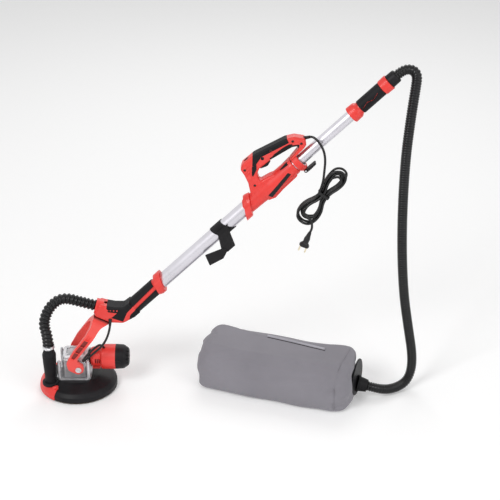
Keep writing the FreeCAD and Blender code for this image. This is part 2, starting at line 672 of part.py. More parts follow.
# ---- fork --------------------------------------------------------------------------------------
def fork():
    """Yoke whose side shape hooks back to the pivot and whose front shape is an arch."""
    side = [(-ROOT_R, FORK_ROOT, 0), (-21, 142, 30), (-39, 52, 34), (-42, 4, 16), (-27, -16, 12),
            (7, -17, 13), (18, 1, 12), (6, 18, 9), (-19, 22, 12), (6, 146, 40), (ROOT_R, FORK_ROOT, 0)]
    arch = [(-ROOT_R, FORK_ROOT, 0), (-33, 152, 16), (-ARM_OUT, 116, 26), (-ARM_OUT, -25, 0), (-ARM_IN, -25, 0),
            (-ARM_IN, 132, 43), (ARM_IN, 132, 43), (ARM_IN, -25, 0), (ARM_OUT, -25, 0), (ARM_OUT, 116, 26),
            (33, 152, 16), (ROOT_R, FORK_ROOT, 0)]
    broad = slab(side, -ARM_OUT - 5, ARM_OUT + 5)
    across = slab(arch, -60, 60)
    across.rotate(V(0, 0, 0), V(0, 0, 1), 90)
    body = broad.common(across)
    recess = [(-16, 138, 3), (-33, 54, 6), (-36, 26, 4), (-25, 26, 4), (-4, 138, 3)]
    for low, high in ((-ARM_OUT - 1, 3.5 - ARM_OUT), (ARM_OUT - 3.5, ARM_OUT + 1)):
        body = body.cut(slab(recess, low, high))
        ribs = []
        for i in range(3):
            rib = Part.makeBox(30, 3.5, 2.2, V(-40 + 6 * i, low + 1 if low < 0 else low, 50 + 26 * i))
            ribs.append(rib.common(slab(recess, low, high)))
        body = body.fuse(ribs)
    neck = Part.makeCylinder(STEM_NECK_R, STEM_NECK + WASHER_T, V(0, 0, FORK_ROOT))
    head = Part.makeCylinder(STEM_HEAD_R, STEM_HEAD, V(0, 0, FORK_ROOT + STEM_NECK + WASHER_T))
    body = body.multiFuse([neck, head])
    return placed(body.cut(rod(0, 0, PIVOT_PIN_R, -ARM_OUT - 5, ARM_OUT + 5)), FORK_FRAME)


def swivel_washer():
    """Slippery washer between the fork's root and the lower grip."""
    washer = ring_z(FORK_ROOT, FORK_ROOT + WASHER_T, STEM_NECK_R, ROOT_R - 1)
    return placed(washer, FORK_FRAME)


def pivot_screws():
    """Shoulder screws through the fork's feet into the gearbox bosses."""
    screws = []
    for side in (-1, 1):
        shank_end = V(0, side * (ARM_IN - 7), 0)
        shank = Part.makeCylinder(PIVOT_PIN_R, ARM_OUT - ARM_IN + 7, shank_end, V(0, side, 0))
        head = Part.makeCylinder(9, 4, V(0, side * ARM_OUT, 0), V(0, side, 0))
        slot = Part.makeBox(20, 1.8, 1.8, V(-10, side * (ARM_OUT + 3.1) - 0.9, -0.9))
        screws.append(fuse(shank, head).cut(slot))
    return placed(Part.makeCompound(screws), FORK_FRAME)


# ---- lower grip --------------------------------------------------------------------------------
ROOT_CENTRE = FORK_TO_POLE.multVec(V(0, 0, FORK_ROOT + WASHER_T + GAP))
FORK_AXIS = FORK_TO_POLE.Rotation.multVec(V(0, 0, 1))
MOUTH = V(MOUTH_X, 0, MOUTH_Z)
MOUTH_OUT = V(math.cos(math.radians(MOUTH_ANGLE)), 0, math.sin(math.radians(MOUTH_ANGLE)))
GRIP_END = GRIP_COLLAR_AT + 24


def grip_collar():
    """Flared upper collar of the lower grip, cut off on a slant at both ends."""
    collar = turned_x([(GRIP_COLLAR_AT - 34, 0, 0), (GRIP_COLLAR_AT - 34, GRIP_R, 0),
                       (GRIP_COLLAR_AT - 12, GRIP_COLLAR_R, 12), (GRIP_COLLAR_AT + 34, GRIP_COLLAR_R, 0),
                       (GRIP_COLLAR_AT + 34, 0, 0)])
    return collar.common(tilted_slab(GRIP_COLLAR_AT, 23, 22))


def knuckle(inset):
    """Elbow of the lower grip between the fork's root, the mouth and the barrel, drawn in by inset."""
    across = V(-FORK_AXIS.z, 0, FORK_AXIS.x)
    high = ROOT_CENTRE + across * (ROOT_R + 1)
    low = ROOT_CENTRE - across * (ROOT_R + 1)
    outline = [(high.x, high.z, 10), (low.x, low.z, 10), (200, inset - 13, 18), (240, inset - GRIP_R, 12),
               (SLEEVE_START, inset - GRIP_R, 0),
               (SLEEVE_START, GRIP_R - inset, 0), (238 - inset / 2, GRIP_R + 2 - inset, 14),
               (219 - inset, 44 - inset / 2, 18), (203 - inset, 67, 12), (194, 84, 10)]
    return eased(slab(outline, inset - GRIP_HALF, GRIP_HALF - inset), 7, on_plane_y(GRIP_HALF - inset))


def shoulder_region():
    """Side outline of the soft shoulder pad, through the whole elbow."""
    return slab([(214, 70, 0), (200, 57, 3), (201, 47, 3), (219, 25, 2), (188, 26, 2),
                 (206, -10, 0), (212, -40, 0), (SLEEVE_START, -40, 0), (SLEEVE_START, 70, 0)], -60, 60)


def shoulder_stripe():
    """Stripe of bare red that runs from the elbow to the collar between the soft parts."""
    return slab([(202, -9, 0), (236, 5.5, 20), (GRIP_COLLAR_AT + 4, 13, 0), (GRIP_COLLAR_AT + 4, 1, 0),
                 (236, -6.5, 20), (206, -30, 0)], -80, 80)


def lower_grip():
    """Moulded elbow that joins the fork, the head hose and the pole, with a flared upper collar."""
    mouth = Part.makeCylinder(MOUTH_R, 22, MOUTH - MOUTH_OUT * 20, MOUTH_OUT)
    barrel = Part.makeCylinder(GRIP_R, GRIP_END - OUTER_START, V(OUTER_START, 0, 0), V(1, 0, 0))
    tail = Part.makeBox(60, 100, 100, V(GRIP_COLLAR_AT, -50, -50)).cut(tilted_slab(GRIP_COLLAR_AT - 20, 23, 62))
    elbow = knuckle(0).cut(shoulder_region().cut(shoulder_stripe()).cut(shoulder_slots()))
    body = elbow.fuse(knuckle(SKIN)).fuse(mouth).fuse(barrel.cut(tail)).fuse(grip_collar())
    body = body.removeSplitter()
    body = body.cut(Part.makeCylinder(OUTER_R, 300, V(OUTER_START, 0, 0), V(1, 0, 0)))
    duct_start = V(OUTER_START + 2, 0, 0)
    duct_r = HOSE_R - 3
    duct = Part.makeCylinder(duct_r, (MOUTH - duct_start).Length, duct_start, MOUTH - duct_start)
    entry = Part.makeCylinder(HOSE_R, 30, MOUTH - MOUTH_OUT * 12, MOUTH_OUT)
    body = body.cut(duct).cut(entry)
    neck = Part.makeCylinder(STEM_NECK_R + RUN, STEM_NECK + 2, ROOT_CENTRE - FORK_AXIS, FORK_AXIS)
    head = Part.makeCylinder(STEM_HEAD_R + RUN, STEM_HEAD + 2 * GAP,
                             ROOT_CENTRE + FORK_AXIS * (STEM_NECK - 2 * GAP), FORK_AXIS)
    guard_well = Part.makeCone(5.5, 4.0, 20, CABLE_EXIT + CABLE_OUT, CABLE_OUT)
    return body.cut(neck).cut(head).cut(placed(guard_well, POLE_FRAME.inverse()))


def shoulder_slots():
    """Three slanted windows through the pad, where the red moulding shows."""
    slots = []
    for i in range(3):
        x, z = 203 + 7 * i, 45 - 7 * i
        window = [(x - 2.5, z - 1, 0), (x, z - 3.5, 0), (x + 4, z, 0), (x + 1.5, z + 2.5, 0)]
        slots.append(slab(window, -60, 60))
    return fuse(*slots)


def lower_grip_sleeve():
    """Soft overmould: a sleeve on the barrel and a pad on the elbow, with a bare stripe on each side."""
    end = GRIP_COLLAR_AT - 14
    sleeve = turned_x([(SLEEVE_START, 0, 0), (SLEEVE_START, SLEEVE_R, 0), (end, SLEEVE_R, 1.5), (end, 0, 0)])
    sleeve = sleeve.cut(Part.makeCylinder(GRIP_R, 400, V(200, 0, 0), V(1, 0, 0))).cut(grip_collar())
    pad = knuckle(0).cut(knuckle(SKIN)).common(shoulder_region())
    pad = pad.cut(Part.makeCylinder(GRIP_R, SLEEVE_START - OUTER_START, V(OUTER_START, 0, 0), V(1, 0, 0)))
    body = fuse(sleeve, pad).cut(shoulder_stripe()).cut(shoulder_slots())
    mouth = Part.makeCylinder(MOUTH_R, 22, MOUTH - MOUTH_OUT * 20, MOUTH_OUT)
    return body.cut(mouth)


def cable_guard():
    """Tapered rubber guard where the head's cable leaves the grip beside the fork."""
    start = CABLE_EXIT + CABLE_OUT * 1.0
    cone = Part.makeCone(5.5, 4.0, 20, start, CABLE_OUT)
    grooves = [Part.makeTorus(5.6 - 0.3 * i, 0.8, start + CABLE_OUT * (5 + 4 * i), CABLE_OUT) for i in range(3)]
    return cone.cut(grooves)


# ---- pole tubes --------------------------------------------------------------------------------
def outer_tube():
    tube = ring_x(OUTER_START, OUTER_END, OUTER_R - OUTER_WALL, OUTER_R)
    slit = Part.makeBox(30, 2.4, 30, V(OUTER_END - 28, -1.2, -30))
    return tube.cut(slit)


def tube_bush():
    """Plastic guide bush in the mouth of the outer tube."""
    return ring_x(OUTER_END - BUSH_LENGTH, OUTER_END, INNER_R + RUN, OUTER_R - OUTER_WALL)


def inner_tube():
    """Sliding tube with a foot ring that rides in the outer tube."""
    tube = ring_x(INNER_START, INNER_END, INNER_R - INNER_WALL, INNER_R)
    foot = ring_x(INNER_START, INNER_START + 30, INNER_R, OUTER_R - OUTER_WALL - RUN)
    return tube.fuse(foot).removeSplitter()


def bag_strap():
    """Webbing band slung aslant round the pole, with its hanging fold and its turned-up tail."""
    inner, outer = OUTER_R + GAP, OUTER_R + GAP + STRAP_T
    ring = ring_x(540, 740, inner, outer).common(tilted_slab(STRAP_X, STRAP_TILT, STRAP_WIDTH))
    fold = slab([(STRAP_X - 15, 8, 0), (STRAP_X - 44, -38, 2), (STRAP_X - 37, -58, 3), (STRAP_X - 6, -58, 3),
                 (STRAP_X + 24, 8, 0)], -outer - STRAP_T, -outer)
    bridge = slab([(STRAP_X - 20, 4, 0), (STRAP_X - 23, -6, 0), (STRAP_X + 14, -6, 0), (STRAP_X + 18, 4, 0)],
                  -outer, -inner - 0.5)
    tail = slab([(STRAP_X - 36, -42, 2), (STRAP_X - 46, -36, 2), (STRAP_X - 92, -19, 2), (STRAP_X - 106, -53, 2),
                 (STRAP_X - 60, -64, 2), (STRAP_X - 34, -54, 0)], -outer - 2 * STRAP_T, -outer - STRAP_T)
    return fuse(ring, bridge, fold, tail)


# ---- main handle -------------------------------------------------------------------------------
def loop_solid(inset):
    """Handle loop without its hand hole, drawn in by inset on every side."""
    k = inset
    outline = [(752 + k, -4, 0), (790 + k, 55 + k / 2, 25), (799 + k, 80, 12), (803 + k, 101 - k, 10),
               (820, 110 - k, 12), (866, 108 - k, 40), (960, 82 - k, 30), (984 - k, 68 - k, 18),
               (1003 - k, 42, 10), (992 - k, 26 + k, 8), (930, 2 + k, 14), (905, -4, 0)]
    body = slab(outline, k - LOOP_HALF, LOOP_HALF - k)
    return body


def hand_hole():
    """Outline of the finger opening."""
    return [(818, 36, 6), (831, 60, 7), (846, 66, 6), (890, 63, 20), (958, 49, 9), (975, 38, 5), (962, 32, 9),
            (922, 26, 30), (868, 22, 20), (850, 29, 12)]


def handle_blank(inset):
    """Loop with its hand hole cut and its long edges rounded."""
    body = loop_solid(inset).cut(slab(grown(hand_hole(), inset), -60, 60))
    return eased(body, 6.5 - inset, on_plane_y(LOOP_HALF - inset))


def grown(outline, amount):
    """Outline pushed out from its middle by about amount."""
    if amount == 0:
        return outline
    cx = sum(p[0] for p in outline) / len(outline)
    cz = sum(p[1] for p in outline) / len(outline)
    result = []
    for x, z, radius in outline:
        dx = amount if x > cx + 30 else -amount if x < cx - 30 else 0
        result.append((x + dx, z + (amount if z > cz else -amount), radius))
    return result


def top_pad_region():
    """Where the black pad covers the front and top of the loop."""
    return slab([(780, 66, 2), (806, 60, 3), (822, 84, 10), (872, 90, 30), (962, 66, 3), (970, 95, 2),
                 (880, 140, 2), (790, 130, 2)], -60, 60)


def finger_pad_region():
    """Where black pads line the hand hole under the grip bar and on its lower side."""
    upper = slab([(889, 58, 1), (889, 71, 1), (962, 56, 1), (980, 42, 1), (970, 34, 1), (955, 44, 1)], -60, 60)
    lower = slab([(872, 16, 1), (872, 30, 1), (914, 34, 1), (914, 18, 1)], -60, 60)
    return upper.fuse(lower)


def handle_barrel():
    """Tube socket of the handle with its flared front collar."""
    barrel = turned_x([(HANDLE_START, 0, 0), (HANDLE_START, HANDLE_R - 1.5, 0), (780, HANDLE_R, 60),
                       (830, HANDLE_R + 3, 60), (HANDLE_END - 6, HANDLE_R + 1, 20), (HANDLE_END, HANDLE_R - 1, 2),
                       (HANDLE_END, 0, 0)])
    collar = turned_x([(HANDLE_COLLAR_AT - 40, 0, 0), (HANDLE_COLLAR_AT - 40, HANDLE_COLLAR_R, 0),
                       (HANDLE_COLLAR_AT + 14, HANDLE_COLLAR_R, 10), (HANDLE_COLLAR_AT + 40, HANDLE_R, 0),
                       (HANDLE_COLLAR_AT + 40, 0, 0)])
    collar = collar.common(tilted_slab(HANDLE_COLLAR_AT, 33, 19))
    front = Part.makeBox(60, 100, 100, V(HANDLE_COLLAR_AT - 60, -50, -50)).cut(
        tilted_slab(HANDLE_COLLAR_AT + 30, 33, 79))
    return fuse(barrel.cut(front), collar)


def pockets():
    """Hollows for the trigger and its switch, the lock button, the dial, the screws and the guard."""
    trigger_well = slab([(843, 56, 0), (843, 82, 0), (851.5, 94, 0), (882.5, 94, 0), (887, 84, 0), (887, 50, 0)],
                        -TRIGGER_HALF - GAP, TRIGGER_HALF + GAP)
    dial_well = rod(DIAL_X, DIAL_Z, DIAL_R + 1, -DIAL_HALF - GAP, DIAL_HALF + GAP)
    axle = rod(DIAL_X, DIAL_Z, 2 + RUN, -9, 9)
    trigger_well = trigger_well.cut(rod(TRIGGER_X, TRIGGER_Z, TRIGGER_PIN_R, -11, 11))
    button = rod(BUTTON_X, BUTTON_Z, BUTTON_R + RUN, -LOOP_HALF - 5, -TRIGGER_HALF)
    wells = [trigger_well, dial_well, axle, button]
    for x, z in HANDLE_SCREWS:
        wells.append(rod(x, z, SCREW_R, -12, LOOP_HALF - 3))
        wells.append(rod(x, z, SCREW_R + 2.2, -LOOP_HALF - 5, -12))
    return wells


HANDLE_SCREWS = [(812, 92), (908, 84), (972, 62), (800, 38), (985, 40)]
BADGE_HALF_Z = 8.0


def handle_body():
    """Whole moulding before it is split: barrel, loop and the buttress below the badge."""
    loop = handle_blank(0).cut(top_pad_region()).cut(finger_pad_region())
    core = handle_blank(OVERMOULD)
    body = fuse(loop, core, handle_barrel())
    foot = slab([(786, -12, 0), (798, -26, 6), (816, -33, 6), (850, -29, 12), (908, -27, 8), (916, -12, 0)],
                -13, 13)
    body = fuse(body, foot)
    body = body.cut(Part.makeCylinder(OUTER_R, 400, V(HANDLE_START - 60, 0, 0), V(1, 0, 0)))
    body = body.cut(badge_recess()).cut(pockets())
    body = body.cut(Part.makeCylinder(CLAMP_R + 1, 100, V(HANDLE_END, 0, 0), V(1, 0, 0)))
    return body.cut(Part.makeCylinder(GUARD_ROOT_R, 36, GUARD_AT - GUARD_OUT * 12, GUARD_OUT))


BADGE_OUTLINE = [(808, -9, 2), (814, -21, 2), (902, -6, 2), (898, 4, 2)]


def badge_recess():
    """Shallow slanted seat on the -Y side of the barrel for the bare panel."""
    return slab(BADGE_OUTLINE, -HANDLE_R - 8, -HANDLE_R + 1.2)


def badge_panel():
    """Plain dark panel seated in its recess."""
    return slab(BADGE_OUTLINE, -HANDLE_R - 1.5, -HANDLE_R + 1.2)


def handle_overmould():
    """Soft black pads wrapped over the loop's front and top and round the hand hole."""
    core = handle_blank(OVERMOULD)
    skin = handle_blank(0).cut(core)
    pads = [skin.common(region) for region in (top_pad_region(), finger_pad_region())]
    pads = [pad.cut(pockets()).cut(handle_barrel()) for pad in pads]
    for i in range(3):
        groove = slab([(786, 70 + 8 * i, 0), (830, 76 + 8 * i, 0), (830, 79 + 8 * i, 0), (786, 73 + 8 * i, 0)],
                      -LOOP_HALF - 5, 1.2 - LOOP_HALF)
        pads[0] = pads[0].cut(groove)
    return Part.makeCompound([solid for pad in pads for solid in pad.Solids])


def trigger():
    """Finger trigger hinged at its front end."""
    side = [(844.5, 71, 2), (881, 73, 2), (884, 59, 4), (866, 53, 12), (846, 61, 4)]
    body = slab(side, -TRIGGER_HALF, TRIGGER_HALF)
    body = eased(body, 1.5, on_plane_y(TRIGGER_HALF))
    return body.cut(rod(TRIGGER_X, TRIGGER_Z, TRIGGER_PIN_R + RUN, -10, 10))


def trigger_switch():
    """Switch block above the trigger with its plunger."""
    block = Part.makeBox(30, 14, 14, V(852, -7, 80))
    plunger = Part.makeCylinder(2, 3, V(876, 0, 77.6))
    return fuse(block, plunger)


def lock_button():
    """Round lock-on button in the -Y side."""
    button = Part.makeCylinder(BUTTON_R, 9, V(BUTTON_X, -LOOP_HALF - 1.2, BUTTON_Z), V(0, 1, 0))
    return eased(button, 1.0, lambda edge: edge.BoundBox.YMax < -LOOP_HALF - 1.1)


def speed_dial():
    """Thumb wheel with finger notches and stub axles."""
    wheel = rod(DIAL_X, DIAL_Z, DIAL_R, -DIAL_HALF, DIAL_HALF)
    notches = []
    for i in range(12):
        angle = math.tau * i / 12
        notches.append(rod(DIAL_X + DIAL_R * math.cos(angle), DIAL_Z + DIAL_R * math.sin(angle), 1.3, -9, 9))
    return wheel.cut(notches).fuse(rod(DIAL_X, DIAL_Z, 2, -8.5, 8.5))


def handle_screws():
    """Cross-head screws sunk in the -Y shell."""
    screws = []
    for x, z in HANDLE_SCREWS:
        shank = rod(x, z, SCREW_R, -12, LOOP_HALF - 3)
        head = rod(x, z, SCREW_R + 2.1, -14.4, -12)
        cross = Part.makeBox(3.2, 1.2, 0.8, V(x - 1.6, -14.4, z - 0.4))
        cross = cross.fuse(Part.makeBox(0.8, 1.2, 3.2, V(x - 0.4, -14.4, z - 1.6)))
        screws.append(fuse(shank, head).cut(cross))
    return Part.makeCompound(screws)


# ---- telescope clamp ---------------------------------------------------------------------------
def clamp_collar():
    """Split collar on the end of the outer tube with the lug of its lever."""
    ring = turned_x([(CLAMP_START, 0, 0), (CLAMP_START, CLAMP_R, 3),
                     (CLAMP_END, CLAMP_R, 3), (CLAMP_END, 0, 0)])
    lug = rod(LEVER_X, LEVER_Z, EAR_HALF, -EAR_HALF, EAR_HALF)
    web = Part.makeBox(2 * EAR_HALF, 2 * EAR_HALF, 14, V(LEVER_X - EAR_HALF, -EAR_HALF, LEVER_Z))
    body = fuse(ring, lug, web)
    body = body.cut(Part.makeCylinder(OUTER_R, 60, V(CLAMP_START - 10, 0, 0), V(1, 0, 0)))
    return body.cut(rod(LEVER_X, LEVER_Z, LEVER_PIN_R, -10, 10))


def clamp_pin():
    return rod(LEVER_X, LEVER_Z, LEVER_PIN_R, -EAR_HALF - 4, EAR_HALF + 4)


def clamp_lever():
    """L-shaped cam lever folded along the pole, forked round the lug."""
    side = [(LEVER_X - 5, LEVER_Z + 4, 4), (LEVER_X - 5, LEVER_Z - 5, 5), (LEVER_X + 10, LEVER_Z - 6, 4),
            (LEVER_X + 37, LEVER_Z - 5, 2.5), (LEVER_X + 37, LEVER_Z + 1, 2.5), (LEVER_X + 8, LEVER_Z + 1.5, 3),
            (LEVER_X + 3, LEVER_Z + 4.5, 2)]
    body = slab(side, -EAR_HALF - 4, EAR_HALF + 4)
    slot = rod(LEVER_X, LEVER_Z, EAR_HALF + 2, -EAR_HALF - FLOAT / 2, EAR_HALF + FLOAT / 2)
    upper = Part.makeBox(20, 2 * EAR_HALF + FLOAT, 20, V(LEVER_X - 13, -EAR_HALF - FLOAT / 2, LEVER_Z))
    return body.cut(slot).cut(upper).cut(rod(LEVER_X, LEVER_Z, LEVER_PIN_R + RUN, -20, 20))


# ---- end grip ----------------------------------------------------------------------------------
def end_grip():
    """Red core of the end grip with its two collars."""
    core = turned_x([(END_GRIP_START, 0, 0), (END_GRIP_START, END_COLLAR_R, 2),
                     (END_GRIP_START + 24, END_COLLAR_R - 1, 8),
                     (END_GRIP_START + 32, END_GRIP_R, 4), (END_GRIP_END - 27, END_GRIP_R, 0),
                     (END_GRIP_END - 27, END_COLLAR_R - 2.5, 2), (END_GRIP_END, END_COLLAR_R - 1.5, 2),
                     (END_GRIP_END, 0, 0)])
    return core.cut(Part.makeCylinder(INNER_R, 300, V(END_GRIP_START - 10, 0, 0), V(1, 0, 0)))


def end_grip_sleeve():
    """Soft sleeve between the collars with a thin zig-zag left open on each side."""
    start, end = END_GRIP_START + 35, END_GRIP_END - 27.3
    sleeve = turned_x([(start, 0, 0), (start, END_SLEEVE_R, 2), (end, END_SLEEVE_R, 2), (end, 0, 0)])
    zigzag = [slab([(start + 6 + 20 * i, -3 + 6 * (i % 2), 0), (start + 26 + 20 * i, 3 - 6 * (i % 2), 0),
                    (start + 26 + 20 * i, 5 - 6 * (i % 2), 0), (start + 6 + 20 * i, -1 + 6 * (i % 2), 0)], -60, 60)
              for i in range(3)]
    return sleeve.cut(Part.makeCylinder(END_GRIP_R, 300, V(start - 10, 0, 0), V(1, 0, 0))).cut(zigzag)


def hose_nozzle():
    """Black outlet that screws on the inner tube and takes the hose."""
    body = turned_x([(END_GRIP_END, 0, 0), (END_GRIP_END, NOZZLE_R, 2), (NOZZLE_END - 3, NOZZLE_R - 0.5, 2),
                     (NOZZLE_END, NOZZLE_R - 2, 1), (NOZZLE_END, 0, 0)])
    flats = [Part.makeBox(18, 3, 60, V(END_GRIP_END + 5, -1.5, NOZZLE_R - 0.9)) for _ in range(10)]
    for i, rib in enumerate(flats):
        rib.rotate(V(0, 0, 0), V(1, 0, 0), 36 * i)
    body = body.cut(flats)
    return body.cut(Part.makeCylinder(DUST_HOSE_R - 2, 100, V(END_GRIP_END - 10, 0, 0), V(1, 0, 0)))


# ---- hoses, cords and the bag ------------------------------------------------------------------
def cord_tube(name, route, radius):
    """Round tube along straight runs joined by tangent arcs, as large as each pair of runs allows."""
    points = [V(*p) for p in route]
    edges = []
    start = points[0]
    radii = []
    for before, corner, after in zip(points, points[1:], points[2:]):
        back, ahead = before - corner, after - corner
        reach = 0.45 * min(back.Length, ahead.Length)
        half = back.getAngle(ahead) / 2
        bend = reach * math.tan(half)
        radii.append(round(bend, 1))
        back.normalize()
        ahead.normalize()
        first, last = corner + back * reach, corner + ahead * reach
        middle = corner + (back + ahead).normalize() * (bend / math.sin(half) - bend)
        edges.append(Part.LineSegment(start, first).toShape())
        edges.append(Part.Arc(first, middle, last).toShape())
        start = last
    edges.append(Part.LineSegment(start, points[-1]).toShape())
    path = Part.Wire(edges)
    length = sum(edge.Length for edge in edges)
    circle = Part.Wire(Part.makeCircle(radius, points[0], points[1] - points[0]))
    tube = path.makePipeShell([circle], True, False)
    section = math.pi * radius ** 2
    ratio = round(tube.Volume / (section * length), 4)
    print(name, "radii", radii, "length", round(length), "volume ratio", ratio)
    return tube


def in_pole(x, y, z):
    return POLE_FRAME.multVec(V(x, y, z))


def out_of_pole(direction):
    return POLE_FRAME.Rotation.multVec(direction)


MOUTH_AT = in_pole(MOUTH_X, 0, MOUTH_Z) - out_of_pole(MOUTH_OUT) * 12
MOUTH_DIR = out_of_pole(MOUTH_OUT)
CABLE_EXIT = in_pole(184, 2 - GRIP_HALF, 26)
CABLE_OUT = V(-0.05, -0.5, -0.86).normalize()
GUARD_AT = V(998, 0, 42)
GUARD_OUT = V(0.8, -0.55, -0.24).normalize()
GUARD_ROOT_R = 5.5
GUARD_LENGTH = 24.0
NOZZLE_AT = in_pole(NOZZLE_END, 0, 0)
POLE_DIR = out_of_pole(V(1, 0, 0))
BAG_AXIS = polar(1, BAG_TURN)


def head_hose():
    """Spiral hose from the riser on the shroud over to the mouth of the lower grip."""
    foot = V(CUFF_X, CUFF_Y, CUFF_NECK)
    route = [foot + V(0, 0, GAP), foot + V(0, 0, 40), (-92, -38, 240), (-72, -26, 290), (-32, -14, 317),
             tuple(MOUTH_AT + MOUTH_DIR * 50), MOUTH_AT]
    return cord_tube("head_hose", [tuple(p) for p in route], HOSE_R)


def cable_route():
    """Route of the lead from the grip, round the fork's knee, to the top of the motor."""
    start = CABLE_EXIT + CABLE_OUT * 21
    return [tuple(start), tuple(start + CABLE_OUT * 18), (92, -59, 182), (62, -66, 154), (38, -67, 134),
            (26, -63, 122), (22, -55, 118), (27, -48, 124), (42, -43, 139), (60, -33, 153), (76, -18, 156),
            (BARREL_X + 6, -10, MOTOR_Z + MOTOR_R + 1)]


def dust_hose():
    """Ribbed hose from the nozzle, hanging to the floor and round into the bag."""
    return cord_tube("dust_hose", HOSE_ROUTE, DUST_HOSE_R)


RING_CENTRE = (V(BAG_X, BAG_Y, BAG_HEIGHT / 2) + BAG_AXIS * (BAG_LENGTH / 2 + GAP)
               + polar(RING_SIDE, BAG_TURN + 90))
CUFF_START = RING_CENTRE + V(0, 0, -22) + BAG_AXIS * RING_T
CUFF_DIR = V(0.96, -0.14, -0.22).normalize()
CUFF_FACE = CUFF_START + CUFF_DIR * 30
HOSE_ROUTE = [tuple(NOZZLE_AT), tuple(NOZZLE_AT + POLE_DIR * 22), (980, 0, 1031), (996, 0, 1014), (993, 0, 975),
              (984, -2, 890), (974, 1, 742), (976, 4, 520), (990, 2, 330), (1012, 1, 200), (1028, -2, 112),
              (1028, -8, 58), (1013, -22, 26), (985, -42, 17), (949, -60, 18.5),
              tuple(CUFF_FACE + CUFF_DIR * 30), tuple(CUFF_FACE)]


def bag_cuff():
    """Round socket on the bag's end ring that takes the hose."""
    cuff = Part.makeCone(24, 19, 30, CUFF_START, CUFF_DIR)
    return cuff.fuse(Part.makeCylinder(26, 6, CUFF_START, CUFF_DIR)).cut(bag_end_side())


def bag_end_side():
    """Half space behind the outer face of the ring."""
    block = Part.makeBox(100, 400, 400, V(-100, -200, -200))
    block.rotate(V(0, 0, 0), V(0, 0, 1), BAG_TURN)
    block.translate(RING_CENTRE + BAG_AXIS * RING_T)
    return block


def bag_ring():
    """Stiff disc that closes the bag's open end, with a raised rim."""
    plate = Part.makeCylinder(RING_R, RING_T, RING_CENTRE, BAG_AXIS)
    return eased(plate, 1.5, lambda edge: edge.Closed)


def dust_bag():
    """Filled fabric bag lying on the floor, fuller at the ring end and soft at its corners."""
    half_l, half_w = BAG_LENGTH / 2, BAG_WIDTH / 2
    side = [(-half_l, 0, 14), (-half_l + 6, BAG_HEIGHT - 18, 38), (half_l - 12, BAG_HEIGHT, 40),
            (half_l, 60, 30), (half_l - 6, 0, 14)]
    body = slab(side, -half_w, half_w)
    plan = [(-half_l + 8, -half_w, 50), (half_l - 45, -half_w, 50), (half_l + 1, RING_SIDE - RING_R, 20),
            (half_l + 1, half_w - 6, 26), (half_l - 40, half_w, 30), (-half_l + 8, half_w, 50),
            (-half_l - 1, 0, 120)]
    body = body.common(upright(plan, -1, BAG_HEIGHT + 1))
    body.rotate(V(0, 0, 0), V(0, 0, 1), BAG_TURN)
    body.translate(V(BAG_X, BAG_Y, 0))
    return body


CORD_START = POLE_FRAME.multVec(GUARD_AT + GUARD_OUT * (GUARD_LENGTH - 2))
CORD_DIR = POLE_FRAME.Rotation.multVec(GUARD_OUT)
CORD_ROUTE = [tuple(CORD_START), tuple(CORD_START + CORD_DIR * 14), (736, -38, 812), (744, -42, 778),
              (741, -43, 740), (738, -44, 707), (735, -45, 690)]
TAIL_ROUTE = [(708, -46, 597), (710, -48, 580), (709, -49, 563), (704, -50, 551)]
HANK_AT = V(742, -42, 669)
HANK_HALF = 14.5
HANK_WAIST = 16.0
PLUG_AT = V(704, -50, 551)
PLUG_DIR = V(-0.36, 0, -0.93).normalize()


def cord_guard():
    """Stepped rubber guard of the mains cord at the rear of the handle."""
    guard = Part.makeCone(GUARD_ROOT_R, 4.2, GUARD_LENGTH, GUARD_AT - GUARD_OUT * 2, GUARD_OUT)
    grooves = []
    for i in range(4):
        middle = GUARD_AT + GUARD_OUT * (6 + 4 * i)
        grooves.append(Part.makeTorus(5.6 - 0.2 * i, 0.9, middle, GUARD_OUT))
    return guard.cut(grooves)


def mains_cord():
    """Free cord above the hank and the tail between the hank and the plug."""
    above = cord_tube("mains_cord", CORD_ROUTE, CORD_R)
    tail = cord_tube("mains_cord tail", TAIL_ROUTE, CORD_R)
    return Part.makeCompound([above, tail])


def cord_hank():
    """Outer shape of the folded and tied length of cord: two flat lobes and a waist."""
    lobes = [(-108, -34, 24), (-46, -34, 30), (0, -HANK_WAIST, 30), (42, -27, 26), (89, -26, 18),
             (89, 26, 18), (42, 27, 26), (0, HANK_WAIST, 30), (-46, 34, 30), (-108, 34, 24)]
    return hung(slab(lobes, -HANK_HALF, HANK_HALF))


def hung(shape):
    """Place a shape of the hank's own frame where the hank hangs beside the pole."""
    return placed(shape, Placement(HANK_AT, Rotation(V(0, 1, 0), -53)))


def cord_tie():
    """Band round the hank's waist."""
    half, waist = HANK_HALF + GAP, HANK_WAIST + 4
    outer = Part.makeBox(12, 2 * half + 3, 2 * waist + 3, V(-6, -half - 1.5, -waist - 1.5))
    return hung(outer.cut(Part.makeBox(12, 2 * half, 2 * waist, V(-6, -half, -waist))))


def plug():
    """Moulded two-pin plug body, waisted for the fingers."""
    body = turned_z([(0, 0, 0), (4.5, 0, 0), (7, 14, 8), (9, 22, 8), (8.5, 34, 5),
                     (15, 42, 4), (15, 48, 2), (0, 48, 0)])
    sides = Part.makeBox(60, 22, 60, V(-30, -11, -5))
    body = body.common(sides)
    return aim(body, PLUG_AT, PLUG_DIR)


def plug_pins():
    pins = []
    for x in (-9.5, 9.5):
        pins.append(Part.makeCylinder(2.4, 18, V(x, 0, 48)))
    return aim(Part.makeCompound(pins), PLUG_AT, PLUG_DIR)


def aim(shape, at, direction):
    """Place a shape drawn along +Z so that it leaves a point in a direction."""
    return placed(shape, Placement(at, Rotation(V(0, 0, 1), direction)))


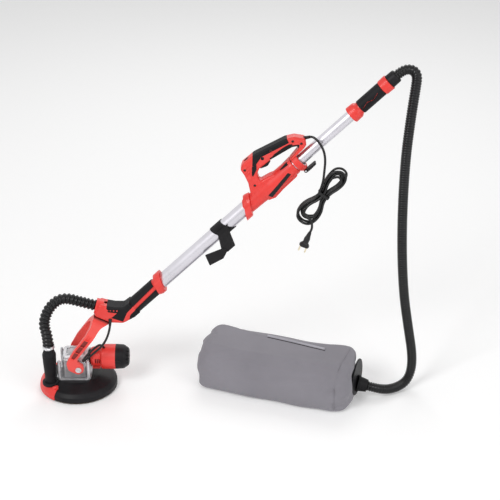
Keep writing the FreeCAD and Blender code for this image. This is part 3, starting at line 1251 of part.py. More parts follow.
# ---- export ------------------------------------------------------------------------------------
def head_parts():
    return {
        "sanding_disc": sanding_disc(), "backing_pad": backing_pad(), "spindle": spindle(),
        "crown_gear": crown_gear(), "bearings": bearings(), "bevel_pinion": bevel_pinion(),
        "dust_shroud": dust_shroud(), "brush_ring": brush_arc(False), "edge_guard": edge_guard(),
        "guard_brush": brush_arc(True), "dust_cuff": dust_cuff(), "hose_clamp": hose_clamp(),
        "gearbox_housing": gearbox_housing(), "gearbox_cover": gearbox_cover(),
        "gearbox_bolts": gearbox_bolts(), "motor_collar": motor_collar(), "motor_housing": motor_housing(),
        "motor_end_cap": motor_end_cap(), "brush_caps": brush_caps(), "stator": stator(),
        "armature": armature(), "cooling_fan": cooling_fan(),
        "fork": fork(), "swivel_washer": swivel_washer(), "pivot_screws": pivot_screws(),
    }


def pole_parts():
    """Pieces drawn in the pole's own frame."""
    grip_left, grip_right = halves(lower_grip())
    shell_left, shell_right = halves(handle_body())
    return {
        "lower_grip_left": grip_left, "lower_grip_right": grip_right,
        "lower_grip_sleeve": lower_grip_sleeve(), "outer_tube": outer_tube(), "tube_bush": tube_bush(),
        "inner_tube": inner_tube(), "bag_strap": bag_strap(), "handle_shell_left": shell_left,
        "handle_shell_right": shell_right, "handle_overmould": handle_overmould(),
        "badge_panel": badge_panel(), "trigger": trigger(), "trigger_switch": trigger_switch(),
        "lock_button": lock_button(), "speed_dial": speed_dial(),
        "handle_screws": handle_screws(), "cord_guard": cord_guard(), "clamp_collar": clamp_collar(),
        "clamp_pin": clamp_pin(), "clamp_lever": clamp_lever(), "end_grip": end_grip(),
        "end_grip_sleeve": end_grip_sleeve(), "hose_nozzle": hose_nozzle(),
    }


def soft_parts():
    return {
        "cable_guard": cable_guard(), "head_hose": head_hose(),
        "head_cable": cord_tube("head_cable", cable_route(), CORD_R),
        "dust_hose": dust_hose(), "bag_cuff": bag_cuff(), "bag_ring": bag_ring(), "dust_bag": dust_bag(),
        "mains_cord": mains_cord(), "cord_hank": cord_hank(), "cord_tie": cord_tie(),
        "plug": plug(), "plug_pins": plug_pins(),
    }


def main():
    os.makedirs("parts", exist_ok=True)
    pieces = head_parts()
    pieces.update({name: placed(shape, POLE_FRAME) for name, shape in pole_parts().items()})
    pieces.update(soft_parts())
    for name, shape in pieces.items():
        shape.exportStep(f"parts/{name}.step")
    print(len(pieces), "nodes,", sum(len(shape.Solids) for shape in pieces.values()), "solids")


main()
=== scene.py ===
import json
import math

import bmesh
import bpy
import numpy as np
from mathutils import Matrix, Vector, noise


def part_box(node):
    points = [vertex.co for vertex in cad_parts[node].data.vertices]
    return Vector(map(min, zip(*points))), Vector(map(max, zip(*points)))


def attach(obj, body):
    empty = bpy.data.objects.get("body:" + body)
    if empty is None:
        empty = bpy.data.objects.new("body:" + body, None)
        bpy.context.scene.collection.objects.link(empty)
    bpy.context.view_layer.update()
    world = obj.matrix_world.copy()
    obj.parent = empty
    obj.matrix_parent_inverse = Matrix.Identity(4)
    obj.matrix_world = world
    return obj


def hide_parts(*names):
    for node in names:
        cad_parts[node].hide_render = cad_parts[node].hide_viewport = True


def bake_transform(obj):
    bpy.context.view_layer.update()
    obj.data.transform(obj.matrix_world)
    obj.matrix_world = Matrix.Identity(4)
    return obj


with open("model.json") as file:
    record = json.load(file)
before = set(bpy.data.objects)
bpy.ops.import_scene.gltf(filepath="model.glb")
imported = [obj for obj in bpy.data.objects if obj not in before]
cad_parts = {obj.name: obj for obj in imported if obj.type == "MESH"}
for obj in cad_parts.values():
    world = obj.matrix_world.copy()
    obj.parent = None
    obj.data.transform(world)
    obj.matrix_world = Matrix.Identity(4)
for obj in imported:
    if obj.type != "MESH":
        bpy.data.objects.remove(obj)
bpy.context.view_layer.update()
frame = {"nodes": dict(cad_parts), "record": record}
NODES = frame["nodes"]
TAU = math.tau


# ---- places ------------------------------------------------------------------------------------
# Routes, outlines and places are in millimetres, as in the model's source. Meshes are in metres.
PIVOT = Vector((8, 0, 88))
POLE_TURN = Matrix.Rotation(-math.radians(44), 4, "Y")
POLE = Matrix.Translation(PIVOT) @ POLE_TURN @ Matrix.Translation((0, 0, 19))


def mm(x, y=0.0, z=0.0):
    """A point in millimetres, in metres."""
    return Vector((x, y, z)) / 1000


def in_pole(x, y, z):
    """A point of the pole's own frame, in the row frame, in millimetres."""
    return POLE @ Vector((x, y, z))


def along_pole(x, y, z):
    """A direction of the pole's own frame, in the row frame."""
    return POLE_TURN @ Vector((x, y, z))


# ---- camera ------------------------------------------------------------------------------------
CAMERA_AT = (0.530, -3.6888, 2.3475)
CAMERA_TILT = math.radians(63)
camera_data = bpy.data.cameras.new("camera")
camera_data.lens = 100.8
camera_data.sensor_width = 36
camera = bpy.data.objects.new("camera", camera_data)
camera.location = CAMERA_AT
camera.rotation_euler = (CAMERA_TILT, 0, 0)
bpy.context.collection.objects.link(camera)
bpy.context.scene.camera = camera


# ---- making things -----------------------------------------------------------------------------
def link(obj):
    """Puts an object in the scene."""
    bpy.context.collection.objects.link(obj)
    return obj


def mesh_piece(name, vertices, faces, smooth=True):
    """Object with a mesh of the given vertices, in metres, and faces."""
    mesh = bpy.data.meshes.new(name)
    mesh.from_pydata([tuple(v) for v in vertices], [], faces)
    mesh.update()
    if smooth:
        mesh.polygons.foreach_set("use_smooth", [True] * len(mesh.polygons))
    return link(bpy.data.objects.new(name, mesh))


def nurbs(name, route, radius=0.0, resolution=10):
    """Smooth curve with the route's points, in millimetres, as its control points."""
    data = bpy.data.curves.new(name, "CURVE")
    data.dimensions = "3D"
    data.resolution_u = resolution
    spline = data.splines.new("NURBS")
    spline.points.add(len(route) - 1)
    for point, place in zip(spline.points, route):
        point.co = (*mm(*place), 1)
        point.radius = radius
    spline.order_u = 3
    spline.use_endpoint_u = True
    if radius:
        data.bevel_depth = 1.0
        data.bevel_resolution = 5
        data.use_fill_caps = True
    return link(bpy.data.objects.new(name, data))


def line_of(route, step):
    """Evenly spaced points along the route's smooth curve, in metres."""
    guide = nurbs("guide", route, resolution=24)
    mesh = bpy.data.meshes.new_from_object(guide)
    points = np.array([v.co for v in mesh.vertices])
    bpy.data.objects.remove(guide)
    bpy.data.meshes.remove(mesh)
    gaps = np.linalg.norm(np.diff(points, axis=0), axis=1)
    run = np.concatenate([[0], np.cumsum(gaps)])
    count = max(2, int(run[-1] / step))
    wanted = np.linspace(0, run[-1], count + 1)
    return np.stack([np.interp(wanted, run, points[:, k]) for k in range(3)], axis=1), wanted


def frames(line):
    """Two unit normals at each point, carried along without twist."""
    tangents = np.gradient(line, axis=0)
    tangents /= np.linalg.norm(tangents, axis=1)[:, None]
    side = np.cross(tangents[0], (0.3, 1.0, 0.2))
    sides = []
    for t in tangents:
        side = side - t * np.dot(side, t)
        side = side / np.linalg.norm(side)
        sides.append(side)
    sides = np.array(sides)
    return sides, np.cross(tangents, sides)


def ring_faces(steps, count):
    """Faces of a closed skin over rings of points, with a cap at each end."""
    faces = []
    for i in range(steps):
        for j in range(count):
            k = (j + 1) % count
            faces.append((i * count + j, i * count + k, (i + 1) * count + k, (i + 1) * count + j))
    faces.append(tuple(range(count))[::-1])
    faces.append(tuple(steps * count + j for j in range(count)))
    return faces


def tube(name, line, run, radius, count=24):
    """Tube round a line whose radius is radius(distance, angles)."""
    sides, ups = frames(line)
    angles = np.arange(count) * TAU / count
    vertices = []
    for place, side, up, s in zip(line, sides, ups, run):
        r = radius(s, angles)[:, None]
        vertices.extend(place + r * (np.cos(angles)[:, None] * side + np.sin(angles)[:, None] * up))
    return mesh_piece(name, vertices, ring_faces(len(line) - 1, count))


# ---- materials ---------------------------------------------------------------------------------
def noise_texture(tree, place, scale, detail):
    """Value of a noise texture in object space."""
    texture = tree.nodes.new("ShaderNodeTexNoise")
    texture.inputs["Scale"].default_value = scale
    texture.inputs["Detail"].default_value = detail
    tree.links.new(place, texture.inputs["Vector"])
    return texture.outputs["Fac"]


def edge_tint(tree, shade, colour, start, full, amount):
    """Mixes a colour in where the surface's pointiness runs from start to full."""
    geometry = tree.nodes.new("ShaderNodeNewGeometry")
    edge = tree.nodes.new("ShaderNodeMapRange")
    edge.inputs["From Min"].default_value = start
    edge.inputs["From Max"].default_value = full
    edge.inputs["To Max"].default_value = amount
    tree.links.new(geometry.outputs["Pointiness"], edge.inputs["Value"])
    mixed = tree.nodes.new("ShaderNodeMix")
    mixed.data_type = "RGBA"
    mixed.inputs["B"].default_value = (*colour, 1)
    tree.links.new(edge.outputs["Result"], mixed.inputs["Factor"])
    tree.links.new(shade, mixed.inputs["A"])
    return mixed.outputs["Result"]


def woven(tree, place, height, weave, pitch):
    """Adds crossed threads of the given pitch, in metres, to a bump height."""
    both = tree.nodes.new("ShaderNodeMath")
    both.operation = "MULTIPLY"
    for axis, socket in zip(("X", "Z"), both.inputs):
        wave = tree.nodes.new("ShaderNodeTexWave")
        wave.bands_direction = axis
        wave.inputs["Scale"].default_value = 0.314 / pitch
        wave.inputs["Distortion"].default_value = 0.4
        tree.links.new(place, wave.inputs["Vector"])
        tree.links.new(wave.outputs["Fac"], socket)
    total = tree.nodes.new("ShaderNodeMath")
    total.operation = "MULTIPLY_ADD"
    total.inputs[1].default_value = weave
    tree.links.new(both.outputs[0], total.inputs[0])
    tree.links.new(height, total.inputs[2])
    return total.outputs[0]


ROUGH_SWING = 0.08
WORN_POINTINESS = 0.53, 0.60
# Pointiness of the hollow corners that get painted shade.
RECESS_SHADE_POINTINESS = 0.49, 0.44


def shader(name, colour, rough, metallic=0.0, mottle=0.06, mottle_scale=18, grain=0.08, grain_scale=900,
           sheen=0.0, coat=0.0, specular=0.5, weave=0.0, weave_pitch=0.0012, wear=0.0, painted_recess_shade=0.0):
    """Principled material: mottled colour, fine grain, worn edges, painted shade in hollows and a weave."""
    material = bpy.data.materials.new(name)
    material.use_nodes = True
    tree = material.node_tree
    links = tree.links
    main = tree.nodes["Principled BSDF"]
    main.inputs["Metallic"].default_value = metallic
    main.inputs["Sheen Weight"].default_value = sheen
    main.inputs["Sheen Roughness"].default_value = 0.5
    main.inputs["Coat Weight"].default_value = coat
    main.inputs["Specular IOR Level"].default_value = specular
    place = tree.nodes.new("ShaderNodeTexCoord").outputs["Object"]

    patches = noise_texture(tree, place, mottle_scale, 6)
    ramp = tree.nodes.new("ShaderNodeValToRGB")
    dark, light = ramp.color_ramp.elements
    dark.position, light.position = 0.3, 0.7
    dark.color = (*[c * (1 - mottle) for c in colour], 1)
    light.color = (*[min(1, c * (1 + mottle) + 0.02 * mottle) for c in colour], 1)
    links.new(patches, ramp.inputs["Fac"])
    shade = ramp.outputs["Color"]
    if wear:
        shade = edge_tint(tree, shade, [min(1, c * 1.5 + 0.12) for c in colour], *WORN_POINTINESS, wear)
    # Painted shade: hollow corners and recesses get a darker copy of the colour, standing in for the shade
    # there.
    if painted_recess_shade:
        shade = edge_tint(tree, shade, [c * 0.12 for c in colour], *RECESS_SHADE_POINTINESS, painted_recess_shade)
    links.new(shade, main.inputs["Base Color"])

    swing = tree.nodes.new("ShaderNodeMapRange")
    swing.inputs["To Min"].default_value = max(0.02, rough - ROUGH_SWING)
    swing.inputs["To Max"].default_value = min(1.0, rough + ROUGH_SWING)
    links.new(patches, swing.inputs["Value"])
    links.new(swing.outputs["Result"], main.inputs["Roughness"])
    height = noise_texture(tree, place, grain_scale, 3)
    if weave:
        height = woven(tree, place, height, weave, weave_pitch)
    bump_node = tree.nodes.new("ShaderNodeBump")
    bump_node.inputs["Strength"].default_value = grain
    bump_node.inputs["Distance"].default_value = 0.001
    links.new(height, bump_node.inputs["Height"])
    links.new(bump_node.outputs["Normal"], main.inputs["Normal"])
    return material


# The fork and the cast metal carry painted shade in their recesses.
FINISH = {
    "red_plastic": shader("red_plastic", (0.74, 0.032, 0.024), 0.40, grain=0.10, coat=0.1, wear=0.15),
    "fork_red": shader("fork_red", (0.80, 0.048, 0.036), 0.44, grain=0.14, wear=0.2, painted_recess_shade=0.8),
    "black_plastic": shader("black_plastic", (0.0055, 0.005, 0.0065), 0.46, mottle=0.2, grain=0.16,
                            specular=0.2, wear=0.05),
    "black_rubber": shader("black_rubber", (0.0055, 0.005, 0.0065), 0.55, mottle=0.25, grain=0.3,
                           grain_scale=1400, specular=0.18),
    "cast_metal": shader("cast_metal", (0.58, 0.58, 0.60), 0.46, metallic=0.75, mottle=0.16, mottle_scale=60,
                         grain=0.5, grain_scale=420, wear=0.3, painted_recess_shade=0.5),
    "steel": shader("steel", (0.60, 0.60, 0.62), 0.3, metallic=1.0, grain=0.12, wear=0.2),
    "tube_metal": shader("tube_metal", (0.66, 0.645, 0.69), 0.30, metallic=0.9, mottle=0.04, grain=0.06),
    "copper": shader("copper", (0.60, 0.26, 0.10), 0.35, metallic=1.0, mottle=0.2, grain=0.4),
    "hose_black": shader("hose_black", (0.0035, 0.0035, 0.0042), 0.24, mottle=0.15, grain=0.1,
                         specular=0.3),
    "zip_grey": shader("zip_grey", (0.42, 0.41, 0.45), 0.7, mottle=0.1, grain=0.4, weave=0.6, specular=0.25),
    "dark_screw": shader("dark_screw", (0.05, 0.03, 0.03), 0.4, metallic=0.6, grain=0.1, wear=0.2),
    "fabric_grey": shader("fabric_grey", (0.245, 0.235, 0.262), 0.82, mottle=0.07, mottle_scale=7,
                          grain=0.35, weave=0.8, sheen=0.15, specular=0.25),
    "webbing": shader("webbing", (0.008, 0.0075, 0.0085), 0.75, mottle=0.3, grain=0.5, weave=1.5,
                      specular=0.2, weave_pitch=0.0016, sheen=0.05),
    "abrasive": shader("abrasive", (0.45, 0.33, 0.22), 0.9, mottle=0.15, grain=0.9, grain_scale=1800),
    "cord_black": shader("cord_black", (0.005, 0.005, 0.0055), 0.34, mottle=0.2, grain=0.06, specular=0.35),
    "brass": shader("brass", (0.78, 0.70, 0.52), 0.25, metallic=1.0, grain=0.05),
}
for subpart in frame["record"]["subparts"]:
    node = NODES[subpart["node"]]
    material = FINISH[subpart["material_slot"]]
    if not node.material_slots:
        node.data.materials.append(material)
    for place in node.material_slots:
        place.material = material
# The screws sit deep in their pockets and look dark.
NODES["handle_screws"].material_slots[0].material = FINISH["dark_screw"]


def finish_piece(obj, slot, body=None, replaces=()):
    """Gives a piece the material of its slot, and its body unless it bends between two."""
    obj.data.materials.clear()
    obj.data.materials.append(FINISH[slot])
    if body:
        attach(obj, body)
    if replaces:
        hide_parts(*replaces)
    return obj


# ---- mains cord --------------------------------------------------------------------------------
GUARD_OUT = Vector((0.8, -0.55, -0.24)).normalized()
CORD_START = in_pole(*(Vector((998, 0, 42)) + GUARD_OUT * 22))
CORD_OUT = along_pole(*GUARD_OUT)
CORD_R = 3.5
HANK = Matrix.Translation((742, -42, 669)) @ Matrix.Rotation(-math.radians(53), 4, "Y")
HANK_PITCH = 7.3
HANK_TURNS = 3
OUTER_SWINGS = [(0, 0), (5, -7), (2, 5)]
INNER_SWINGS = [(8, -3), (3, 3), (10, -6)]
TIE_HALF = 16.4


def hank_turn(left, right, waist, left_end, right_end, first, last):
    """One turn of the folded cord, from the waist round the lower lobe, the upper lobe and back."""
    shape = [(-18, waist), (-46, left * 0.88), (-72, left), (left_end + 9, left * 0.8),
             (left_end, left * 0.3), (left_end, -left * 0.3), (left_end + 9, -left * 0.8), (-72, -left),
             (-46, -left * 0.88), (-18, -waist), (12, -waist), (38, -right * 0.88), (60, -right),
             (right_end - 6, -right * 0.75), (right_end, -right * 0.2), (right_end - 1, right * 0.35),
             (right_end - 12, right * 0.9), (54, right), (34, right * 0.9), (10, waist)]
    return [(x, first + (last - first) * i / len(shape), z) for i, (x, z) in enumerate(shape)]


def hank_route():
    """Turns outside, front to back, then inside, back to front, and the run to the tail."""
    route = []
    low = -HANK_PITCH * HANK_TURNS / 2
    for i, (a, b) in enumerate(OUTER_SWINGS):
        front = low + HANK_PITCH * i
        route += hank_turn(31, 24, 11.5, -105 + a, 86 + b, front, front + HANK_PITCH)
    for i, (a, b) in enumerate(INNER_SWINGS):
        back = -low - HANK_PITCH * i
        route += hank_turn(22.5, 15.5, 3.8, -94 + a, 76 + b, back, back - HANK_PITCH)
    route += [(-18, low - 2, 3.8), (-46, low - 4, 19), (-70, low - 8, 19), (-84, low - 9, 8)]
    return [tuple(HANK @ Vector(p)) for p in route]


def hank_tie():
    """Narrow band with rounded corners round the hank's waist."""
    count = 40
    section = ((-4, 0.0), (-4, 1.5), (4, 1.5), (4, 0.0))
    vertices = []
    for x, size in section:
        for j in range(count):
            round_part = math.cos(TAU * j / count), math.sin(TAU * j / count)
            flat = [math.copysign(abs(v) ** 0.45, v) * (TIE_HALF + size) for v in round_part]
            vertices.append(HANK @ Vector((x, *flat)) / 1000)
    faces = []
    for i in range(4):
        near, far = i * count, (i + 1) % 4 * count
        for j in range(count):
            k = (j + 1) % count
            faces.append((near + j, near + k, far + k, far + j))
    return mesh_piece("hank_tie", vertices, faces, smooth=False)


CORD_ROUTE = [tuple(CORD_START), tuple(CORD_START + CORD_OUT * 14), (736, -38, 812), (744, -42, 778),
              (741, -46, 740), (738, -50, 707)]
TAIL_ROUTE = [(706, -60, 597), (709, -59, 580), (709, -54, 563), (704, -50, 551)]
mains = nurbs("mains_lead", CORD_ROUTE + hank_route() + TAIL_ROUTE, CORD_R / 1000, resolution=6)
finish_piece(mains, "cord_black", "pole", ("mains_cord", "cord_hank"))
tie = hank_tie()
finish_piece(tie, "cord_black", "pole", ("cord_tie",))


def length_of(obj):
    """Length of a cord's curve, in metres."""
    data = obj.data
    depth, data.bevel_depth = data.bevel_depth, 0
    mesh = bpy.data.meshes.new_from_object(obj)
    data.bevel_depth = depth
    points = np.array([v.co for v in mesh.vertices])
    return float(np.linalg.norm(np.diff(points, axis=0), axis=1).sum())


round(length_of(mains), 2)

# ---- dust hose ---------------------------------------------------------------------------------
NOZZLE_AT = in_pole(1312, 0, 0)
POLE_DIR = along_pole(1, 0, 0)
BAG_TURN = math.radians(-19)
BAG_AXIS = Vector((math.cos(BAG_TURN), math.sin(BAG_TURN), 0))
BAG_SIDE = Vector((-math.sin(BAG_TURN), math.cos(BAG_TURN), 0))
BAG_AT = Vector((622, -12, 0))
BAG_LENGTH, BAG_WIDTH, BAG_HEIGHT = 470, 190, 132
CLOTH_SWELL = 8
RING_CENTRE = BAG_AT + Vector((0, 0, BAG_HEIGHT / 2)) + BAG_AXIS * (BAG_LENGTH / 2 + 0.3) + BAG_SIDE * 28
CUFF_DIR = Vector((0.96, -0.14, -0.22)).normalized()
CUFF_FACE = RING_CENTRE + Vector((0, 0, -22)) + BAG_AXIS * 5 + CUFF_DIR * 30
HOSE_ROUTE = [tuple(NOZZLE_AT), tuple(NOZZLE_AT + POLE_DIR * 22), (980, 0, 1031), (996, 0, 1014),
              (993, 0, 975), (984, -2, 890), (974, 1, 742), (976, 4, 520), (990, 2, 330), (1012, 1, 200),
              (1028, -2, 112), (1028, -8, 58), (1013, -22, 26), (985, -42, 17), (949, -60, 18.5),
              tuple(CUFF_FACE + CUFF_DIR * 30), tuple(CUFF_FACE)]
HOSE_R, HOSE_PITCH = 0.0150, 0.0076
HOSE_RIB = 0.0026


def ribbed(radius, depth, pitch, turns):
    """Radius of a hose with ribs; turns is the number of starts of their helix, 0 for rings."""
    def at(s, angles):
        phase = TAU * s / pitch + turns * angles
        wave = 0.5 + 0.5 * np.cos(phase)
        return radius - depth * (1 - wave ** 0.7)
    return at


line, run = line_of(HOSE_ROUTE, HOSE_PITCH / 6)
hose = tube("ribbed_hose", line, run, ribbed(HOSE_R, HOSE_RIB, HOSE_PITCH, 0), 22)
finish_piece(hose, "hose_black", None, ("dust_hose",))
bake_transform(hose)


# ---- hose of the head --------------------------------------------------------------------------
MOUTH_TURN = math.radians(120.3)
MOUTH_OUT = along_pole(math.cos(MOUTH_TURN), 0, math.sin(MOUTH_TURN))
MOUTH_AT = in_pole(175, 0, 79) - MOUTH_OUT * 12
FOOT = Vector((-80, -46, 158.3))
HEAD_ROUTE = [tuple(FOOT), tuple(FOOT + Vector((0, 0, 40))), (-92, -38, 240), (-72, -26, 290),
              (-32, -14, 317), tuple(MOUTH_AT + MOUTH_OUT * 50), tuple(MOUTH_AT)]
HEAD_HOSE_R, HEAD_PITCH, HEAD_RIB = 0.0172, 0.0118, 0.0042
line, run = line_of(HEAD_ROUTE, HEAD_PITCH / 9)
middle = len(line) * 9 // 20
spiral = ribbed(HEAD_HOSE_R, HEAD_RIB, HEAD_PITCH, 1)
lower = tube("head_hose_lower", line[:middle + 1], run[:middle + 1], spiral, 32)
upper = tube("head_hose_upper", line[middle:], run[middle:], spiral, 32)
for piece, nodes in ((lower, ("head_hose",)), (upper, ())):
    finish_piece(piece, "hose_black", None, nodes)
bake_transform(lower)
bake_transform(upper)

# ---- cable of the head -------------------------------------------------------------------------
CABLE_R = 0.0035
CABLE_OUT = Vector((-0.05, -0.5, -0.86)).normalized()
CABLE_EXIT = in_pole(184, -24, 26)
CABLE_START = CABLE_EXIT + CABLE_OUT * 19
MOTOR_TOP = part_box("motor_housing")[1].z * 1000
CABLE_ROUTE = [tuple(CABLE_START), tuple(CABLE_START + CABLE_OUT * 18), (92, -59, 182), (62, -66, 154),
               (38, -67, 134), (26, -63, 122), (22, -55, 118), (27, -48, 124), (42, -43, 139),
               (60, -33, 153), (76, -18, 156), (84, -10, MOTOR_TOP - 2)]
line, run = line_of(CABLE_ROUTE, 0.002)
knee = int(np.argmin(line[:, 0]))


def plain_cable(s, angles):
    """Radius of the cable, the same all round and all along."""
    return CABLE_R + 0 * angles


first = tube("head_cable_grip_end", line[:knee + 1], run[:knee + 1], plain_cable, 14)
second = tube("head_cable_motor_end", line[knee:], run[knee:], plain_cable, 14)
finish_piece(first, "cord_black", None, ("head_cable",))
finish_piece(second, "cord_black")
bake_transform(first)
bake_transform(second)


# ---- soft pad of the lower grip ----------------------------------------------------------------
def plate_in_pole(name, outline, low, high):
    """Flat plate of the pole's own frame, from a side outline pushed from low to high."""
    vertices = [in_pole(x, y, z) / 1000 for y in (low, high) for x, z in outline]
    return mesh_piece(name, vertices, ring_faces(1, len(outline)), smooth=False)


PAD_EDGE = [(198.2, 51), (195.6, 46.5), (214.6, 22.4), (219.5, 24.6)]
PAD_FACE, PAD_PROUD = 25.2, 26.2
for side, end in ((-1, "front"), (1, "back")):
    edge = plate_in_pole(f"pad_edge_{end}", PAD_EDGE, side * PAD_FACE, side * PAD_PROUD)
    finish_piece(edge, "black_rubber", "pole")


# ---- soft pads of the main handle --------------------------------------------------------------
def split_by_plane(source, name, point, normal):
    """Copy of a node's mesh cut by a plane, keeping the side that the normal points away from."""
    mesh = source.data.copy()
    body = bmesh.new()
    body.from_mesh(mesh)
    cut = bmesh.ops.bisect_plane(body, geom=body.verts[:] + body.edges[:] + body.faces[:], plane_co=point,
                                 plane_no=normal, clear_outer=True)
    edges = [e for e in cut["geom_cut"] if isinstance(e, bmesh.types.BMEdge) and e.is_boundary]
    bmesh.ops.holes_fill(body, edges=edges, sides=0)
    body.to_mesh(mesh)
    body.free()
    return link(bpy.data.objects.new(name, mesh))


# The pad's front top corner is red: the plane through this point parts it from the black pad.
CORNER_AT, CORNER_NORMAL = in_pole(862, 0, 112) / 1000, along_pole(-1, 0, 1)
overmould = NODES["handle_overmould"]
grip_skin = split_by_plane(overmould, "grip_skin", CORNER_AT, CORNER_NORMAL)
corner_skin = split_by_plane(overmould, "handle_corner", CORNER_AT, -CORNER_NORMAL)
finish_piece(grip_skin, "black_rubber", "pole", ("handle_overmould",))
finish_piece(corner_skin, "red_plastic", "pole")
LOOP_FACE = 18.0
INLAY_SUNK, INLAY_PROUD = 0.8, 0.7
WEDGE = [(834, 85), (872, 91), (869.6, 88), (849.5, 83.5), (837.8, 70.2), (816, 62), (816.5, 67.5)]
FINGER = [(896, 68.5), (909, 70.5), (942, 67), (958, 63), (966, 57), (962, 54.5), (930, 60.5)]
for side, end in ((-1, "front"), (1, "back")):
    near, far = side * (LOOP_FACE - INLAY_SUNK), side * (LOOP_FACE + INLAY_PROUD)
    for name, outline in (("grip_wedge", WEDGE), ("finger_pad_face", FINGER)):
        finish_piece(plate_in_pole(f"{name}_{end}", outline, near, far), "black_rubber", "pole")


# ---- edge guard ---------------------------------------------------------------------------------
def swept_segment(name, profile, start, end, steps):
    """Closed profile of (radius, height) points swept about the disc's axis between two angles."""
    count = len(profile)
    vertices = []
    for i in range(steps + 1):
        a = math.radians(start + (end - start) * i / steps)
        vertices += [mm(r * math.cos(a), r * math.sin(a), z) for r, z in profile]
    obj = mesh_piece(name, vertices, ring_faces(steps, count))
    obj.data.set_sharp_from_angle(angle=math.radians(35))
    return obj


GUARD_PROFILE = [(120.4, 6), (120.4, 10), (119.4, 11.2), (119.4, 16.5), (118.3, 20.6), (109.6, 31.4),
                 (106.6, 33.4), (97.5, 36.0), (96.2, 35.6), (96.2, 34.4), (106.3, 31.8), (107.8, 30.9),
                 (115.4, 22.8), (115, 17), (115, 6)]
GUARD_HALF = 56.7
guard = swept_segment("guard_shell", GUARD_PROFILE, 180 - GUARD_HALF, 180 + GUARD_HALF, 72)
finish_piece(guard, "red_plastic", "edge_guard", ("edge_guard",))


def nub_radius(s, angles):
    """Radius of the finger nub, in metres: a stub whose last two millimetres are rounded off."""
    return (6.5 if s < 15 else 5.2 if s < 17 else 3) / 1000 + 0 * angles


NUB_TURN = math.radians(180 + 50)
NUB_OUT = Vector((math.cos(NUB_TURN), math.sin(NUB_TURN), 0.25)).normalized()
NUB_AT = Vector((math.cos(NUB_TURN) * 97, math.sin(NUB_TURN) * 97, 34))
nub_line = np.array([mm(*(NUB_AT + NUB_OUT * s)) for s in (-6, -5, 8, 10, 11)])
nub_run = np.array([0, 1, 14, 16, 17])
nub = tube("guard_nub", nub_line, nub_run, nub_radius, 28)
nub.data.set_sharp_from_angle(angle=math.radians(40))
finish_piece(nub, "red_plastic", "edge_guard")


BRISTLE_ROWS = (115.9, 117.2)
BRISTLE_TOP, BRISTLE_TIP = 7.5, 0.7


def bristles(name, body, node, first, last, count):
    """Strip of fine bristles under the rim, two rows deep, slightly splayed."""
    vertices, faces = [], []
    for i in range(count):
        a = math.radians(first + (last - first) * (i + 0.5) / count)
        for row, r in enumerate(BRISTLE_ROWS):
            turn = a + 0.5 * row * math.radians(last - first) / count
            lean = 0.9 * math.sin(i * 2.3 + row)
            out = Vector((math.cos(turn), math.sin(turn), 0))
            along = Vector((-math.sin(turn), math.cos(turn), 0))
            root = out * r + Vector((0, 0, BRISTLE_TOP))
            tip = out * (r + 0.5) + along * lean + Vector((0, 0, BRISTLE_TIP))
            n = len(vertices)
            vertices += [(root + out * 0.5) / 1000, (root - out * 0.3 + along * 0.5) / 1000,
                         (root - out * 0.3 - along * 0.5) / 1000, tip / 1000]
            faces += [(n, n + 1, n + 3), (n + 1, n + 2, n + 3), (n + 2, n, n + 3), (n, n + 2, n + 1)]
    piece = mesh_piece(name, vertices, faces, smooth=False)
    return finish_piece(piece, "black_rubber", body, (node,))


bristles("rim_bristles", "head", "brush_ring", 237.2, 482.8, 520)
bristles("guard_bristles", "edge_guard", "guard_brush", 123.4, 236.6, 240)


# ---- dust bag ----------------------------------------------------------------------------------
SHELL_HEIGHT = BAG_HEIGHT + CLOTH_SWELL - 2
LEFT_ROUND, RIGHT_ROUND = 0.085, 0.075
TAPER_START = 0.88
RECEDE_START, RECEDE = 0.7, 26
TOP_BACK, TOP_FRONT, LOW_BACK, LOW_FRONT = 0.24, 0.42, 0.30, 0.22


def squareness(c, s):
    """Power that squares off the section, by the quarter of the section."""
    if s > 0:
        return TOP_BACK if c > 0 else TOP_FRONT
    return LOW_BACK if c > 0 else LOW_FRONT


def bag_shell():
    """Closed shell of the filled bag: near level along its top, flat beneath, with soft ends."""
    steps, count = 60, 80
    half = SHELL_HEIGHT / 2
    vertices = []
    for i in range(steps + 1):
        t = i / steps
        x = (t - 0.5) * BAG_LENGTH + CLOTH_SWELL * (2 * t - 1)
        end = min(t, 1 - t) / (LEFT_ROUND if t < 0.5 else RIGHT_ROUND)
        round_off = (1 - (1 - min(1, end)) ** 2.4) ** 0.5
        wide = BAG_WIDTH / 2 + CLOTH_SWELL * (0.6 + 0.4 * math.sin(math.pi * t))
        taper = max(0, t - TAPER_START) / (1 - TAPER_START)
        wide *= 1 - 0.17 * taper ** 2
        shift = 12 * taper ** 2
        for j in range(count):
            a = TAU * j / count
            c, s = math.cos(a), math.sin(a)
            power = squareness(c, s)
            y = wide * math.copysign(abs(c) ** power, c) * (0.70 + 0.30 * round_off)
            z = half * math.copysign(abs(s) ** power, s) * (0.74 + 0.26 * round_off) + half
            recede = RECEDE * max(0, t - RECEDE_START) / 0.3 * max(0, y + 10) / 100
            p = BAG_AT + BAG_AXIS * (x - recede) + BAG_SIDE * (y + shift) + Vector((0, 0, z))
            vertices.append(p / 1000)
    return mesh_piece("filled_bag", vertices, ring_faces(steps, count))


def apply_modifiers(obj):
    """Replaces the mesh by what its modifiers make of it."""
    graph = bpy.context.evaluated_depsgraph_get()
    mesh = bpy.data.meshes.new_from_object(obj.evaluated_get(graph))
    obj.modifiers.clear()
    obj.data = mesh


def remesh(obj, size):
    """Even quads of about the given size, in metres."""
    modifier = obj.modifiers.new("remesh", "REMESH")
    modifier.mode = "VOXEL"
    modifier.voxel_size = size
    apply_modifiers(obj)


